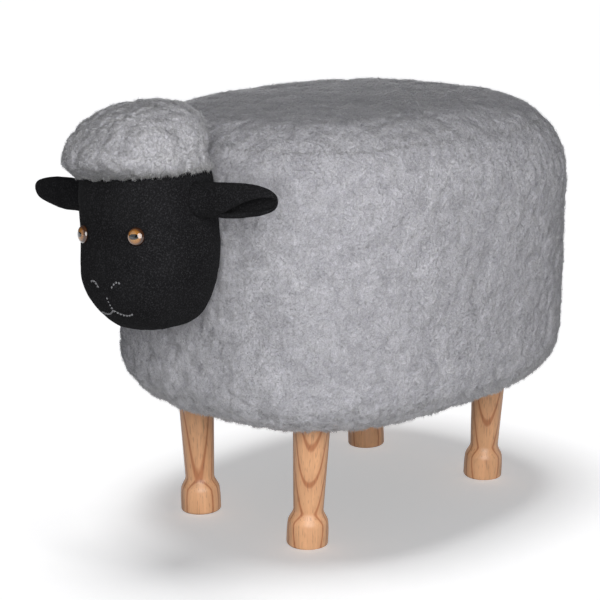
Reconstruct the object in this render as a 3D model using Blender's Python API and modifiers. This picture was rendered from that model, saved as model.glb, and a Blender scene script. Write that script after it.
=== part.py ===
"""Woolly sheep footstool: a fleece-covered drum seat on four turned legs, with a stuffed head.

Metres, +Z up, floor at z = 0. The sheep faces -Y and its left flank is on +X.
"""
import math

import bmesh
import bpy
from mathutils import Vector

# Body, outside the fleece
BODY_WIDTH = 0.3435
BODY_LENGTH = 0.4187
BODY_SQUARENESS = 2.7
HIND_FLARE_SHARE = 0.0186
BODY_BOTTOM = 0.1135
SEAT_HEIGHT = 0.380
SEAT_CROWN = 0.003
TOP_ROUND = 0.072
BOTTOM_ROUND = 0.048
SEAM_ANGLE = math.radians(45)
EDGE_STEP = math.radians(11.25)
BODY_SIDES = 40

# Layers of the upholstery, from the outside in
FLEECE_DEPTH = 0.012
SIDE_FOAM = 0.015
SIDE_WRAP = 0.003
SEAT_FOAM = 0.055
HEM_REACH = 0.040
DUST_COVER = 0.001

# Clearances
SOFT_GAP = 0.0005
FIT_GAP = 0.0003
OVERRUN = 0.004

# Wooden frame
BOARD = 0.012
POST = 0.030
POST_SIDE_EDGE = 0.020
POST_END_EDGE = 0.073
PANEL_WIDTH = 0.110
PANEL_THICKNESS = 0.012
PANEL_FRONT_GAP = 0.0015
PANEL_SCREW_EDGE = 0.018

# Legs, with their tops set in from the sides and ends of the body
FRONT_LEG_EDGE = 0.0998
HIND_LEG_EDGE = 0.0915
LEG_END_EDGE = 0.0826
LEG_LEAN = math.radians(2.62)
LEG_TOP_DIAMETER = 0.0352
ANKLE_DIAMETER = 0.0270
ANKLE_HEIGHT = 0.033
SHOULDER_DIAMETER = 0.0364
SHOULDER_HEIGHT = 0.020
FOOT_DIAMETER = 0.0374
FOOT_WIDEST = 0.010
FOOT_EDGE = 0.003
LEG_SIDES = 24

# Leg fastening
BOLT_DIAMETER = 0.008
BOLT_IN_LEG = 0.026
BOLT_TIP = 0.004
BOLT_ABOVE_NUT = 0.003
NUT_FLANGE = 0.022
NUT_FLANGE_THICKNESS = 0.0015
NUT_BARREL = 0.0100
NUT_BARREL_LENGTH = 0.009
NUT_PRONGS = 4
PRONG_RADIUS = 0.0092
PRONG_LENGTH = 0.006
PRONG_WIDTH = 0.0030
PRONG_THICKNESS = 0.0012
FASTENER_SIDES = 16

# Countersunk frame screws
SCREW_DIAMETER = 0.004
SCREW_HEAD = 0.008
SCREW_HEAD_RIM = 0.0005
SCREW_HEAD_DEPTH = 0.0025
SCREW_LENGTH = 0.038
SCREW_TIP = 0.005
SCREW_SIDES = 10

# Head, measured from its own middle
HEAD_WIDTH = 0.1165
HEAD_DEPTH = 0.092
HEAD_HEIGHT = 0.153
HEAD_SQUARENESS = 2.7
HEAD_ROUNDNESS = 3.2
HEAD_BROW_ROUNDNESS = 4.3
HEAD_PRESS = 0.0064
HEAD_DROP = 0.0915
HEAD_ROLL = math.radians(6)
MUZZLE_NARROWING_SHARE = 0.21
MUZZLE_REACH_SHARE = 0.24
MUZZLE_LEVEL_SHARE = -0.50
MUZZLE_SPREAD_SHARE = 0.40
FELT = 0.002
HEAD_SIDES = 28
HEAD_LEVELS = 12

# Fastening of the head
HEAD_BOARD = 0.009
HEAD_BOLT_SPACING = 0.028
HEAD_BOLT_DIAMETER = 0.006
HEAD_BOLT_FLANGE = 0.014
HEAD_BOLT_HEAD = 0.004
HEAD_NUT_WIDTH = 0.0115
HEAD_NUT = 0.005
HEAD_BOLT_END = 0.002

# Woolly cap, set down from the top of the skull
CAP_WIDTH = 0.115
CAP_DEPTH = 0.103
CAP_SQUARENESS = 2.5
CAP_FORWARD = 0.010
CAP_DROP = 0.0075
CAP_RISE = 0.0435
CAP_FALL = 0.014
CAP_HUG = 0.0025
CAP_LEAN = 0.018
CAP_DOME = 2.3
CAP_SIDES = 28

# Ears: folded leaves of felt, set down from the top of the skull
EAR_REACH = 0.142
EAR_ROOT = 0.046
EAR_DROP = 0.0445
EAR_BACK = 0.003
EAR_RADIUS = 0.0145
EAR_FLATNESS_SHARE = 0.64
EAR_ROOT_RADIUS_SHARE = 0.80
EAR_FULLEST_SHARE = 0.42
EAR_SEWN_SHARE = 0.28
EAR_TIP_SHARE = 0.20
RIGHT_EAR_LIFT = 0.0065
EAR_THICKNESS = 0.0042
EAR_SLIT = math.radians(10)
EAR_STATIONS = 11
EAR_ARC_STEPS = 9

# Fold of each ear: its sewn seam, and the upper and lower edge of its opening at the tip
EAR_FOLDS = {
    "left": (math.radians(246), math.radians(126), math.radians(262)),
    "right": (math.radians(284), math.radians(232), math.radians(296)),
}

# Eyes: domed buttons on a stem with a lock washer
EYE_SPREAD = 0.031
EYE_LEVEL = 0.008
EYE_DIAMETER = 0.0150
EYE_DOME = 0.0050
EYE_STEM = 0.0040
EYE_STEM_LENGTH = 0.0110
EYE_WASHER = 0.0130
EYE_WASHER_THICKNESS = 0.0016
EYE_WASHER_DEPTH = 0.0037
EYE_STANDOFF = 0.0010
EYE_SIDES = 24

# Places that follow from the sizes above
LEFT_AND_RIGHT = (("left", 1), ("right", -1))
HEAD_FORWARD = HEAD_DEPTH / 2 - HEAD_PRESS
HEAD_REACH = HEAD_FORWARD + CAP_FORWARD + CAP_DEPTH / 2
BODY_Y = HEAD_REACH / 2
BODY_FRONT = BODY_Y - BODY_LENGTH / 2
HEAD_CENTRE = Vector((0, BODY_FRONT - HEAD_FORWARD, SEAT_HEIGHT - HEAD_DROP))
CAP_LEVEL = HEAD_HEIGHT / 2 - CAP_DROP
EAR_LEVEL = HEAD_HEIGHT / 2 - EAR_DROP
FOAM_INSET = FLEECE_DEPTH + SOFT_GAP
FOAM_INNER = FOAM_INSET + SIDE_FOAM
WRAP_INSET = FOAM_INNER + SOFT_GAP
WRAP_INNER = WRAP_INSET + SIDE_WRAP
BOARD_INSET = WRAP_INNER + SOFT_GAP
SEAT_BOARD_TOP = SEAT_HEIGHT - FLEECE_DEPTH - SEAT_FOAM
SEAT_BOARD_UNDER = SEAT_BOARD_TOP - BOARD
QUARTER = math.pi / 2


def material(name, colour, roughness, metallic=0.0):
    """A plain finish for the solids."""
    finish = bpy.data.materials.new(name)
    finish.use_nodes = True
    shader = finish.node_tree.nodes["Principled BSDF"]
    shader.inputs["Base Color"].default_value = (*colour, 1.0)
    shader.inputs["Roughness"].default_value = roughness
    shader.inputs["Metallic"].default_value = metallic
    finish.diffuse_color = (*colour, 1.0)
    return finish


def add_object(name, mesh, finish, parent=None):
    """A named piece of the footstool."""
    piece = bpy.data.objects.new(name, mesh)
    PIECES.objects.link(piece)
    piece.parent = parent
    piece.data.materials.append(finish)
    return piece


def add_cutter(name, mesh, parent=None):
    """A shape that only cuts others."""
    tool = bpy.data.objects.new(name, mesh)
    CUTTERS.objects.link(tool)
    tool.parent = parent
    tool.hide_render = True
    tool.display_type = "WIRE"
    return tool


def boolean(piece, tool, operation="DIFFERENCE"):
    """Cut, join or intersect a piece with a tool."""
    step = piece.modifiers.new(tool.name, "BOOLEAN")
    step.operation = operation
    step.object = tool


def shade(mesh):
    """Smooth shading with crisp edges."""
    mesh.shade_smooth()
    mesh.set_sharp_from_angle(angle=math.radians(40))
    return mesh


def loft_mesh(name, rings, closed=False):
    """Skin a row of rings. Open rows get flat ends, a closed row joins its end to its start."""
    bm = bmesh.new()
    rows = [[bm.verts.new(point) for point in ring] for ring in rings]
    pairs = list(zip(rows, rows[1:]))
    if closed:
        pairs.append((rows[-1], rows[0]))
    else:
        bm.faces.new(rows[0])
        bm.faces.new(rows[-1])
    for lower, upper in pairs:
        for i, corner in enumerate(lower):
            j = (i + 1) % len(lower)
            bm.faces.new((corner, lower[j], upper[j], upper[i]))
    bmesh.ops.recalc_face_normals(bm, faces=bm.faces)
    mesh = bpy.data.meshes.new(name)
    bm.to_mesh(mesh)
    bm.free()
    return shade(mesh)


def cylinder_mesh(name, diameter, length, sides):
    """A round bar about its own middle, along Z."""
    bm = bmesh.new()
    bmesh.ops.create_cone(
        bm, cap_ends=True, segments=sides, radius1=diameter / 2, radius2=diameter / 2, depth=length
    )
    mesh = bpy.data.meshes.new(name)
    bm.to_mesh(mesh)
    bm.free()
    return shade(mesh)


def box_mesh(name, width, depth, height):
    """A box about its own middle."""
    bm = bmesh.new()
    bmesh.ops.create_cube(bm, size=1)
    bmesh.ops.scale(bm, vec=(width, depth, height), verts=bm.verts)
    mesh = bpy.data.meshes.new(name)
    bm.to_mesh(mesh)
    bm.free()
    return mesh


def outline_mesh(name, profile, closed=False):
    """A profile of (radius, height) points as edges, ready to be turned."""
    mesh = bpy.data.meshes.new(name)
    edges = [(i, i + 1) for i in range(len(profile) - 1)]
    if closed:
        edges.append((len(profile) - 1, 0))
    mesh.from_pydata([(radius, 0, height) for radius, height in profile], edges, [])
    return mesh


def turn(piece, sides):
    """Turn an outline about its own Z axis."""
    lathe = piece.modifiers.new("Lathe", "SCREW")
    lathe.axis = "Z"
    lathe.steps = sides
    lathe.render_steps = sides
    lathe.use_merge_vertices = True
    lathe.merge_threshold = 0.00001
    lathe.use_smooth_shade = True


def steps(start, end, count):
    """Evenly spaced values, both ends included."""
    return [start + (end - start) * i / (count - 1) for i in range(count)]


def edge_angles(start, end):
    """Angles along a rounded edge, on the same grid for every layer."""
    low, high = sorted((start, end))
    inside = [EDGE_STEP * i for i in range(round(QUARTER / EDGE_STEP) + 1)]
    margin = EDGE_STEP / 4
    angles = [low] + [angle for angle in inside if low + margin < angle < high - margin] + [high]
    return angles if start <= end else angles[::-1]


def limited(value, low, high):
    """The value, kept between two others."""
    return max(low, min(high, value))


def squared(value, squareness):
    """A cosine or sine bent towards a rounded square."""
    return math.copysign(abs(value) ** (2 / squareness), value)


# Body

def body_ring(inset, z, share=1.0):
    """One level of the body: a rounded square, a little wider at the hind end."""
    half_width = (BODY_WIDTH / 2 - inset) * share
    half_length = (BODY_LENGTH / 2 - inset) * share
    ring = []
    for i in range(BODY_SIDES):
        angle = 2 * math.pi * i / BODY_SIDES
        across = squared(math.cos(angle), BODY_SQUARENESS)
        along = squared(math.sin(angle), BODY_SQUARENESS)
        x = half_width * across * (1 + HIND_FLARE_SHARE * along)
        ring.append((x, BODY_Y + half_length * along, z))
    return ring


def lower_edge(offset, angle):
    """Inset and height on the rounded lower edge, from underneath (0) to the side."""
    radius = BOTTOM_ROUND - offset
    inset = offset + radius * (1 - math.sin(angle))
    return inset, BODY_BOTTOM + offset + radius * (1 - math.cos(angle))


def lower_angle(offset, inset):
    """The angle on the lower edge at an inset from the body's side."""
    return math.asin(limited(1 - (inset - offset) / (BOTTOM_ROUND - offset), 0, 1))


def upper_edge(offset, angle):
    """Inset and height on the rounded upper edge, from the side (0) to the top."""
    radius = TOP_ROUND - offset
    inset = offset + radius * (1 - math.cos(angle))
    return inset, SEAT_HEIGHT - offset - radius * (1 - math.sin(angle))


def upper_angle(offset, z):
    """The angle on the upper edge at a height."""
    return math.asin(limited((z - SEAT_HEIGHT + TOP_ROUND) / (TOP_ROUND - offset), 0, 1))


def crown_rings(offset):
    """The gently crowned middle of the seat, from its edge inwards."""
    crown_shares = (0.72, 0.45, 0.2)
    rings = []
    for share in crown_shares:
        z = SEAT_HEIGHT - offset + SEAT_CROWN * (1 - share * share)
        rings.append(body_ring(TOP_ROUND, z, share))
    return rings


def rings_at(profile):
    """Rings of the body at a row of (inset, height) points."""
    return [body_ring(inset, z) for inset, z in profile]


def body_solid(name, offset):
    """The whole body as one solid, set in by an offset."""
    profile = [lower_edge(offset, angle) for angle in edge_angles(0, QUARTER)]
    profile += [upper_edge(offset, angle) for angle in edge_angles(0, QUARTER)]
    return loft_mesh(name, rings_at(profile) + crown_rings(offset))


def base_height():
    """Underside of the base board, just above the cover that is pulled round its edge."""
    return lower_edge(FLEECE_DEPTH, lower_angle(FLEECE_DEPTH, WRAP_INSET))[1] + SOFT_GAP


def body_front(x, inset):
    """Where the front of the body lies at a place across it."""
    half_width = (BODY_WIDTH / 2 - inset) * (1 - HIND_FLARE_SHARE)
    half_length = BODY_LENGTH / 2 - inset
    bend = limited(1 - abs(x / half_width) ** BODY_SQUARENESS, 0, 1)
    return BODY_Y - half_length * bend ** (1 / BODY_SQUARENESS)


def make_side_cover():
    """Fleece round the flanks, from the seat seam down to a hem turned under the base board."""
    outer = [lower_edge(0, angle) for angle in edge_angles(lower_angle(0, HEM_REACH), QUARTER)]
    outer += [upper_edge(0, angle) for angle in edge_angles(0, SEAM_ANGLE)]
    inner = [upper_edge(FLEECE_DEPTH, angle) for angle in edge_angles(SEAM_ANGLE, 0)]
    hem_angle = lower_angle(FLEECE_DEPTH, WRAP_INSET)
    inner += [lower_edge(FLEECE_DEPTH, angle) for angle in edge_angles(QUARTER, hem_angle)]
    hem = [(HEM_REACH, base_height() - SOFT_GAP)]
    mesh = loft_mesh("fleece_side", rings_at(outer + inner + hem), closed=True)
    return add_object("fleece_side", mesh, FLEECE)


def make_seat_cover():
    """Crowned fleece panel of the seat, seamed to the side cover."""
    seam = SEAM_ANGLE + SOFT_GAP / (TOP_ROUND - FLEECE_DEPTH)
    outer = rings_at([upper_edge(0, angle) for angle in edge_angles(seam, QUARTER)])
    inner = rings_at([upper_edge(FLEECE_DEPTH, angle) for angle in edge_angles(seam, QUARTER)])
    rings = list(reversed(inner + crown_rings(FLEECE_DEPTH))) + outer + crown_rings(0)
    return add_object("fleece_top", loft_mesh("fleece_top", rings), FLEECE)


def make_side_foam():
    """Foam band between the cover and the fibreboard."""
    low = lower_angle(FOAM_INSET, FOAM_INNER)
    high = upper_angle(FOAM_INSET, SEAT_BOARD_TOP)
    profile = [lower_edge(FOAM_INSET, angle) for angle in edge_angles(low, QUARTER)]
    profile += [upper_edge(FOAM_INSET, angle) for angle in edge_angles(0, high)]
    profile += [(FOAM_INNER, SEAT_BOARD_TOP)]
    return add_object("side_foam", loft_mesh("side_foam", rings_at(profile), closed=True), FOAM)


def make_seat_foam():
    """Crowned foam of the seat, lying on the seat board and the side foam."""
    floor = SEAT_BOARD_TOP + SOFT_GAP
    low = upper_angle(FOAM_INSET, floor)
    profile = [upper_edge(FOAM_INSET, angle) for angle in edge_angles(low, QUARTER)]
    profile[0] = (profile[0][0], floor)
    rings = rings_at(profile) + crown_rings(FOAM_INSET)
    return add_object("seat_foam", loft_mesh("seat_foam", rings), FOAM)


def make_side_wrap():
    """Thin fibreboard bent round both boards and the posts."""
    low = base_height()
    profile = [(WRAP_INSET, low), (WRAP_INSET, SEAT_BOARD_TOP)]
    profile += [(WRAP_INNER, SEAT_BOARD_TOP), (WRAP_INNER, low)]
    return add_object("side_wrap", loft_mesh("side_wrap", rings_at(profile), closed=True), FIBREBOARD)


def make_board(name, inset, low, thickness, finish):
    """A flat board or sheet with the body's plan."""
    rings = rings_at([(inset, low), (inset, low + thickness)])
    return add_object(name, loft_mesh(name, rings), finish)


# Frame

def post_places():
    """The middles of the four corner posts."""
    x = BODY_WIDTH / 2 - BOARD_INSET - POST_SIDE_EDGE - POST / 2
    y = BODY_LENGTH / 2 - BOARD_INSET - POST_END_EDGE - POST / 2
    for end, along in (("front", -1), ("hind", 1)):
        for side, across in LEFT_AND_RIGHT:
            yield f"{end}_{side}", across * x, BODY_Y + along * y


def screw_profile(grow=0.0):
    """A countersunk screw from its head down, or its hole when grown."""
    shank = SCREW_DIAMETER / 2 + grow
    head = SCREW_HEAD / 2 + grow
    return [
        (0, grow),
        (head, grow),
        (head, -SCREW_HEAD_RIM),
        (shank, -SCREW_HEAD_DEPTH),
        (shank, SCREW_TIP - SCREW_LENGTH),
        (0, -SCREW_LENGTH - grow),
    ]


def make_screw(name, place, pointing_up, holed):
    """One frame screw, and its hole in the wood that it goes through."""
    screw = add_object(name, outline_mesh(name, screw_profile()), ZINC)
    hole = add_cutter(name + "_hole", outline_mesh(name + "_hole", screw_profile(FIT_GAP)))
    for piece in (screw, hole):
        turn(piece, SCREW_SIDES)
        piece.location = place
        piece.rotation_euler.x = math.pi if pointing_up else 0
    for piece in holed:
        boolean(piece, hole)


def make_frame():
    """Two boards, four posts, the front panel and their screws."""
    base = base_height()
    base_board = make_board("base_board", BOARD_INSET, base, BOARD, PLYWOOD)
    seat_board = make_board("seat_board", BOARD_INSET, SEAT_BOARD_UNDER, BOARD, PLYWOOD)
    low = base + BOARD + FIT_GAP
    high = SEAT_BOARD_UNDER - FIT_GAP
    middle = (low + high) / 2
    for corner, x, y in post_places():
        post = add_object("post_" + corner, box_mesh("post_" + corner, POST, POST, high - low), PINE)
        post.location = (x, y, middle)
        make_screw("base_screw_" + corner, (x, y, base), True, (base_board, post))
        make_screw("seat_screw_" + corner, (x, y, SEAT_BOARD_TOP), False, (seat_board, post))
    front = body_front(PANEL_WIDTH / 2, WRAP_INNER) + PANEL_FRONT_GAP
    mesh = box_mesh("front_panel", PANEL_WIDTH, PANEL_THICKNESS, high - low)
    panel = add_object("front_panel", mesh, PLYWOOD)
    panel.location = (0, front + PANEL_THICKNESS / 2, middle)
    for side, across in LEFT_AND_RIGHT:
        x = across * (PANEL_WIDTH / 2 - PANEL_SCREW_EDGE)
        y = panel.location.y
        make_screw("panel_base_screw_" + side, (x, y, base), True, (base_board, panel))
        make_screw("panel_seat_screw_" + side, (x, y, SEAT_BOARD_TOP), False, (seat_board, panel))
    return base_board, panel


# Legs

def leg_profile():
    """Turned outline of a leg blank, from its top down to the foot."""
    lean_drop = FOOT_DIAMETER / 2 * math.tan(LEG_LEAN)
    top = base_height() + OVERRUN
    ankle = ANKLE_DIAMETER / 2
    shoulder = SHOULDER_DIAMETER / 2
    foot = FOOT_DIAMETER / 2
    profile = [(0, top), (LEG_TOP_DIAMETER / 2, top)]
    for share in steps(0, 1, 7):
        swell = (1 - math.cos(math.pi * share)) / 2
        height = ANKLE_HEIGHT + (SHOULDER_HEIGHT - ANKLE_HEIGHT) * share
        profile.append((ankle + (shoulder - ankle) * swell, height))
    profile.append((foot, FOOT_WIDEST))
    for angle in steps(0, QUARTER, 4):
        radius = foot - FOOT_EDGE * (1 - math.cos(angle))
        profile.append((radius, FOOT_EDGE * (1 - math.sin(angle)) - lean_drop))
    profile.append((0, -lean_drop))
    return profile


def leg_places():
    """Where the legs meet the base board: name, side, and the middle of the leg's top."""
    for end, along, edge in (("front", -1, FRONT_LEG_EDGE), ("hind", 1, HIND_LEG_EDGE)):
        for side, across in LEFT_AND_RIGHT:
            x = across * (BODY_WIDTH / 2 - edge)
            yield f"{end}_{side}", across, x, BODY_Y + along * (BODY_LENGTH / 2 - LEG_END_EDGE)


def make_prongs(name, nut, board):
    """Bend the prongs of a tee nut down into the board, each in its own slot."""
    for i in range(NUT_PRONGS):
        angle = 2 * math.pi * (i + 1 / 2) / NUT_PRONGS
        for grow, piece, operation in ((0, nut, "UNION"), (FIT_GAP, board, "DIFFERENCE")):
            thickness = PRONG_THICKNESS + 2 * grow
            width = PRONG_WIDTH + 2 * grow
            length = PRONG_LENGTH + NUT_FLANGE_THICKNESS / 2 + grow
            mesh = box_mesh(f"prong_{name}_{i}", thickness, width, length)
            prong = add_cutter(f"prong_{name}_{i}", mesh)
            x = nut.location.x + PRONG_RADIUS * math.cos(angle)
            y = nut.location.y + PRONG_RADIUS * math.sin(angle)
            prong.location = (x, y, nut.location.z + NUT_FLANGE_THICKNESS / 2 - length / 2)
            prong.rotation_euler.z = angle
            boolean(piece, prong, operation)


def make_legs(base_board, dust_cover):
    """Leaning turned legs, each on a hanger bolt in a tee nut."""
    seat = base_height() - DUST_COVER - 2 * FIT_GAP
    deck = base_height() + BOARD
    slab = add_cutter("leg_slab", box_mesh("leg_slab", BODY_WIDTH, BODY_LENGTH, seat))
    slab.location = (0, BODY_Y, seat / 2)
    outline = outline_mesh("leg", leg_profile())
    nut_inner = BOLT_DIAMETER / 2 + FIT_GAP
    barrel = NUT_BARREL / 2
    nut_profile = [
        (NUT_FLANGE / 2, NUT_FLANGE_THICKNESS),
        (NUT_FLANGE / 2, 0),
        (barrel, 0),
        (barrel, -NUT_BARREL_LENGTH),
        (nut_inner, -NUT_BARREL_LENGTH),
        (nut_inner, NUT_FLANGE_THICKNESS),
    ]
    bolt_low = seat - BOLT_IN_LEG
    bolt_high = deck + FIT_GAP + NUT_FLANGE_THICKNESS + BOLT_ABOVE_NUT
    bolt_profile = [
        (0, bolt_high),
        (BOLT_DIAMETER / 2, bolt_high),
        (BOLT_DIAMETER / 2, bolt_low + BOLT_TIP),
        (0, bolt_low),
    ]
    nut_outline = outline_mesh("tee_nut", nut_profile, closed=True)
    bolt_outline = outline_mesh("hanger_bolt", bolt_profile)
    bore_length = bolt_high - bolt_low + 2 * FIT_GAP
    bore_mesh = cylinder_mesh("bolt_bore", 2 * nut_inner, bore_length, FASTENER_SIDES)
    barrel_hole = cylinder_mesh("nut_hole", NUT_BARREL + 2 * FIT_GAP, BOARD + 2 * OVERRUN, FASTENER_SIDES)
    for name, across, x, y in leg_places():
        leg = add_object("leg_" + name, outline, RUBBERWOOD)
        turn(leg, LEG_SIDES)
        leg.rotation_euler.y = across * LEG_LEAN
        leg.location = (x - across * seat * math.tan(LEG_LEAN), y, 0)
        bolt = add_object("hanger_bolt_" + name, bolt_outline, ZINC)
        turn(bolt, FASTENER_SIDES)
        bolt.location = (x, y, 0)
        nut = add_object("tee_nut_" + name, nut_outline, ZINC)
        turn(nut, FASTENER_SIDES)
        nut.location = (x, y, deck + FIT_GAP)
        bore = add_cutter("bolt_bore_" + name, bore_mesh)
        bore.location = (x, y, (bolt_high + bolt_low) / 2)
        hole = add_cutter("nut_hole_" + name, barrel_hole)
        hole.location = (x, y, base_height() + BOARD / 2)
        boolean(leg, slab, "INTERSECT")
        boolean(leg, bore)
        boolean(dust_cover, bore)
        boolean(base_board, hole)
        make_prongs(name, nut, base_board)


# Head

def head_level(share, inset):
    """Half width, front reach, back reach and height of the head at a share of its height."""
    half_width = HEAD_WIDTH / 2 - inset
    half_depth = HEAD_DEPTH / 2 - inset
    half_height = HEAD_HEIGHT / 2 - inset
    roundness = HEAD_BROW_ROUNDNESS if share > 0 else HEAD_ROUNDNESS
    closing = limited(1 - abs(share) ** roundness, 0, 1) ** (1 / roundness)
    below = limited(-share, 0, 1)
    narrowing = 1 - MUZZLE_NARROWING_SHARE * below * below * (3 - 2 * below)
    muzzle = math.exp(-(((share - MUZZLE_LEVEL_SHARE) / MUZZLE_SPREAD_SHARE) ** 2))
    front = half_depth * closing * (1 + MUZZLE_REACH_SHARE * muzzle)
    return half_width * closing * narrowing, front, half_depth * closing, half_height * share


def head_solid(name, inset):
    """The head, wide at the brow and narrower at a muzzle that stands forward."""
    rings = []
    for level in range(1, HEAD_LEVELS):
        angle = math.pi * level / HEAD_LEVELS
        share = -squared(math.cos(angle), HEAD_ROUNDNESS)
        half_width, front, back, z = head_level(share, inset)
        ring = []
        for i in range(HEAD_SIDES):
            turned = 2 * math.pi * i / HEAD_SIDES
            x = half_width * squared(math.cos(turned), HEAD_SQUARENESS)
            along = squared(math.sin(turned), HEAD_SQUARENESS)
            ring.append((x, along * (back if along > 0 else front), z))
        rings.append(ring)
    return loft_mesh(name, rings)


def face_point(x, z):
    """A point on the front of the head, from its place across and its height."""
    half_width, front, _, _ = head_level(2 * z / HEAD_HEIGHT, 0)
    bend = limited(1 - abs(x / half_width) ** HEAD_SQUARENESS, 0, 1)
    return Vector((x, -front * bend ** (1 / HEAD_SQUARENESS), z))


def face_normal(x, z):
    """The direction that the face looks in at a point."""
    step = EYE_DIAMETER / 2
    across = face_point(x + step, z) - face_point(x - step, z)
    up = face_point(x, z + step) - face_point(x, z - step)
    return across.cross(up).normalized()


def make_eye(side, across, pivot, cover, filling):
    """A domed button eye, its stem through the felt and its lock washer behind."""
    place = face_point(across * EYE_SPREAD, EYE_LEVEL)
    normal = face_normal(across * EYE_SPREAD, EYE_LEVEL)
    stem = EYE_STEM / 2
    dome = []
    for angle in steps(QUARTER, 0, 6):
        dome.append((EYE_DIAMETER / 2 * math.cos(angle), EYE_DOME * math.sin(angle)))
    dome[0] = (0, EYE_DOME)
    eye_profile = [*dome, (stem, 0), (stem, -EYE_STEM_LENGTH), (0, -EYE_STEM_LENGTH)]
    washer_top = -EYE_WASHER_DEPTH
    washer_low = washer_top - EYE_WASHER_THICKNESS
    inner = stem + FIT_GAP
    washer_profile = [
        (EYE_WASHER / 2, washer_top),
        (EYE_WASHER / 2, washer_low),
        (inner, washer_low),
        (inner, washer_top),
    ]
    eye = add_object("eye_" + side, outline_mesh("eye_" + side, eye_profile), EYE_PLASTIC, pivot)
    washer_mesh = outline_mesh("eye_washer_" + side, washer_profile, closed=True)
    washer = add_object("eye_washer_" + side, washer_mesh, WASHER_PLASTIC, pivot)
    stem_hole = add_cutter(
        "eye_hole_" + side,
        cylinder_mesh("eye_hole_" + side, 2 * inner, 2 * EYE_STEM_LENGTH + 2 * FIT_GAP, FASTENER_SIDES),
        pivot,
    )
    pocket_length = EYE_WASHER_THICKNESS + 2 * EYE_WASHER_DEPTH
    pocket = add_cutter(
        "eye_pocket_" + side,
        cylinder_mesh("eye_pocket_" + side, EYE_WASHER + 2 * SOFT_GAP, pocket_length, FASTENER_SIDES),
        pivot,
    )
    turn(eye, EYE_SIDES)
    turn(washer, FASTENER_SIDES)
    for piece in (eye, washer, stem_hole):
        piece.location = place + normal * EYE_STANDOFF
    pocket.location = place + normal * (washer_low - FIT_GAP + pocket_length / 2)
    for piece in (eye, washer, stem_hole, pocket):
        piece.rotation_euler = normal.to_track_quat("Z", "Y").to_euler()
    boolean(cover, stem_hole)
    boolean(filling, stem_hole)
    boolean(filling, pocket)


def ear_radius(share):
    """The leaf of the ear, from its pinched root to its round tip."""
    if share < EAR_FULLEST_SHARE:
        swell = math.sin(QUARTER * share / EAR_FULLEST_SHARE)
        return EAR_RADIUS * (EAR_ROOT_RADIUS_SHARE + (1 - EAR_ROOT_RADIUS_SHARE) * swell)
    run = (share - EAR_FULLEST_SHARE) / (1 - EAR_FULLEST_SHARE)
    closing = math.sqrt(limited(1 - run ** 2.4, 0, 1))
    return EAR_RADIUS * (EAR_TIP_SHARE + (1 - EAR_TIP_SHARE) * closing)


def ear_opening(side, share):
    """The angles between which the fold is open: a slit at the sewn root, wider at the tip."""
    seam, high, low = EAR_FOLDS[side]
    spread = limited((share - EAR_SEWN_SHARE) / (1 - EAR_SEWN_SHARE), 0, 1)
    upper, lower = seam - EAR_SLIT / 2, seam + EAR_SLIT / 2
    return upper + (high - upper) * spread, lower + (low - lower) * spread


def make_ear(side, across, pivot, skull):
    """A felt leaf folded along its length, sewn shut at its root and open below the front at its tip."""
    rings = []
    tip_lift = RIGHT_EAR_LIFT if side == "right" else 0
    for station in range(EAR_STATIONS):
        share = math.sin(QUARTER * station / (EAR_STATIONS - 1))
        rise = tip_lift * share * share
        x = across * (EAR_ROOT + (EAR_REACH - EAR_ROOT) * share)
        radius = ear_radius(share)
        thickness = min(EAR_THICKNESS, radius * EAR_FLATNESS_SHARE / 2)
        ring = []
        upper, lower = ear_opening(side, share)
        arc = steps(lower - 2 * math.pi, upper, EAR_ARC_STEPS)
        for angle in arc:
            ring.append((x, radius * EAR_FLATNESS_SHARE * math.cos(angle), radius * math.sin(angle) + rise))
        for angle in reversed(arc):
            inner_depth = radius * EAR_FLATNESS_SHARE - thickness
            inner_height = radius - thickness
            ring.append((x, inner_depth * math.cos(angle), inner_height * math.sin(angle) + rise))
        rings.append(ring)
    ear = add_object("ear_" + side, loft_mesh("ear_" + side, rings), FELT_BLACK, pivot)
    ear.location = (0, EAR_BACK, EAR_LEVEL)
    boolean(ear, skull)


def cap_ring(rise):
    """One level of the cap: it hugs the brow at its lower edge and leans back as it rises."""
    sunk = limited(-rise / CAP_FALL, 0, 1)
    risen = limited(rise / CAP_RISE, 0, 1)
    closing = (1 - risen ** CAP_DOME) ** (1 / CAP_DOME)
    half_width, front, back, _ = head_level(2 * (CAP_LEVEL - CAP_FALL) / HEAD_HEIGHT, -CAP_HUG)
    ring = []
    for i in range(CAP_SIDES):
        turned = 2 * math.pi * i / CAP_SIDES
        x = CAP_WIDTH / 2 * closing * squared(math.cos(turned), CAP_SQUARENESS)
        y = CAP_DEPTH / 2 * closing * squared(math.sin(turned), CAP_SQUARENESS)
        y += CAP_LEAN * risen - CAP_FORWARD
        brow_x = half_width * squared(math.cos(turned), HEAD_SQUARENESS)
        along = squared(math.sin(turned), HEAD_SQUARENESS)
        brow_y = along * (back if along > 0 else front)
        ring.append((x + (brow_x - x) * sunk, y + (brow_y - y) * sunk, CAP_LEVEL + rise))
    return ring


def make_cap(pivot, skull, body_cut):
    """Woolly cap: a dome that sits over the brow."""
    low_shares = (1.0, 0.5)
    high_shares = (0.0, 0.3, 0.55, 0.75, 0.9, 0.98)
    rings = [cap_ring(-CAP_FALL * share) for share in low_shares]
    rings += [cap_ring(CAP_RISE * share) for share in high_shares]
    cap = add_object("wool_cap", loft_mesh("wool_cap", rings), FLEECE, pivot)
    boolean(cap, skull)
    boolean(cap, body_cut)


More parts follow.
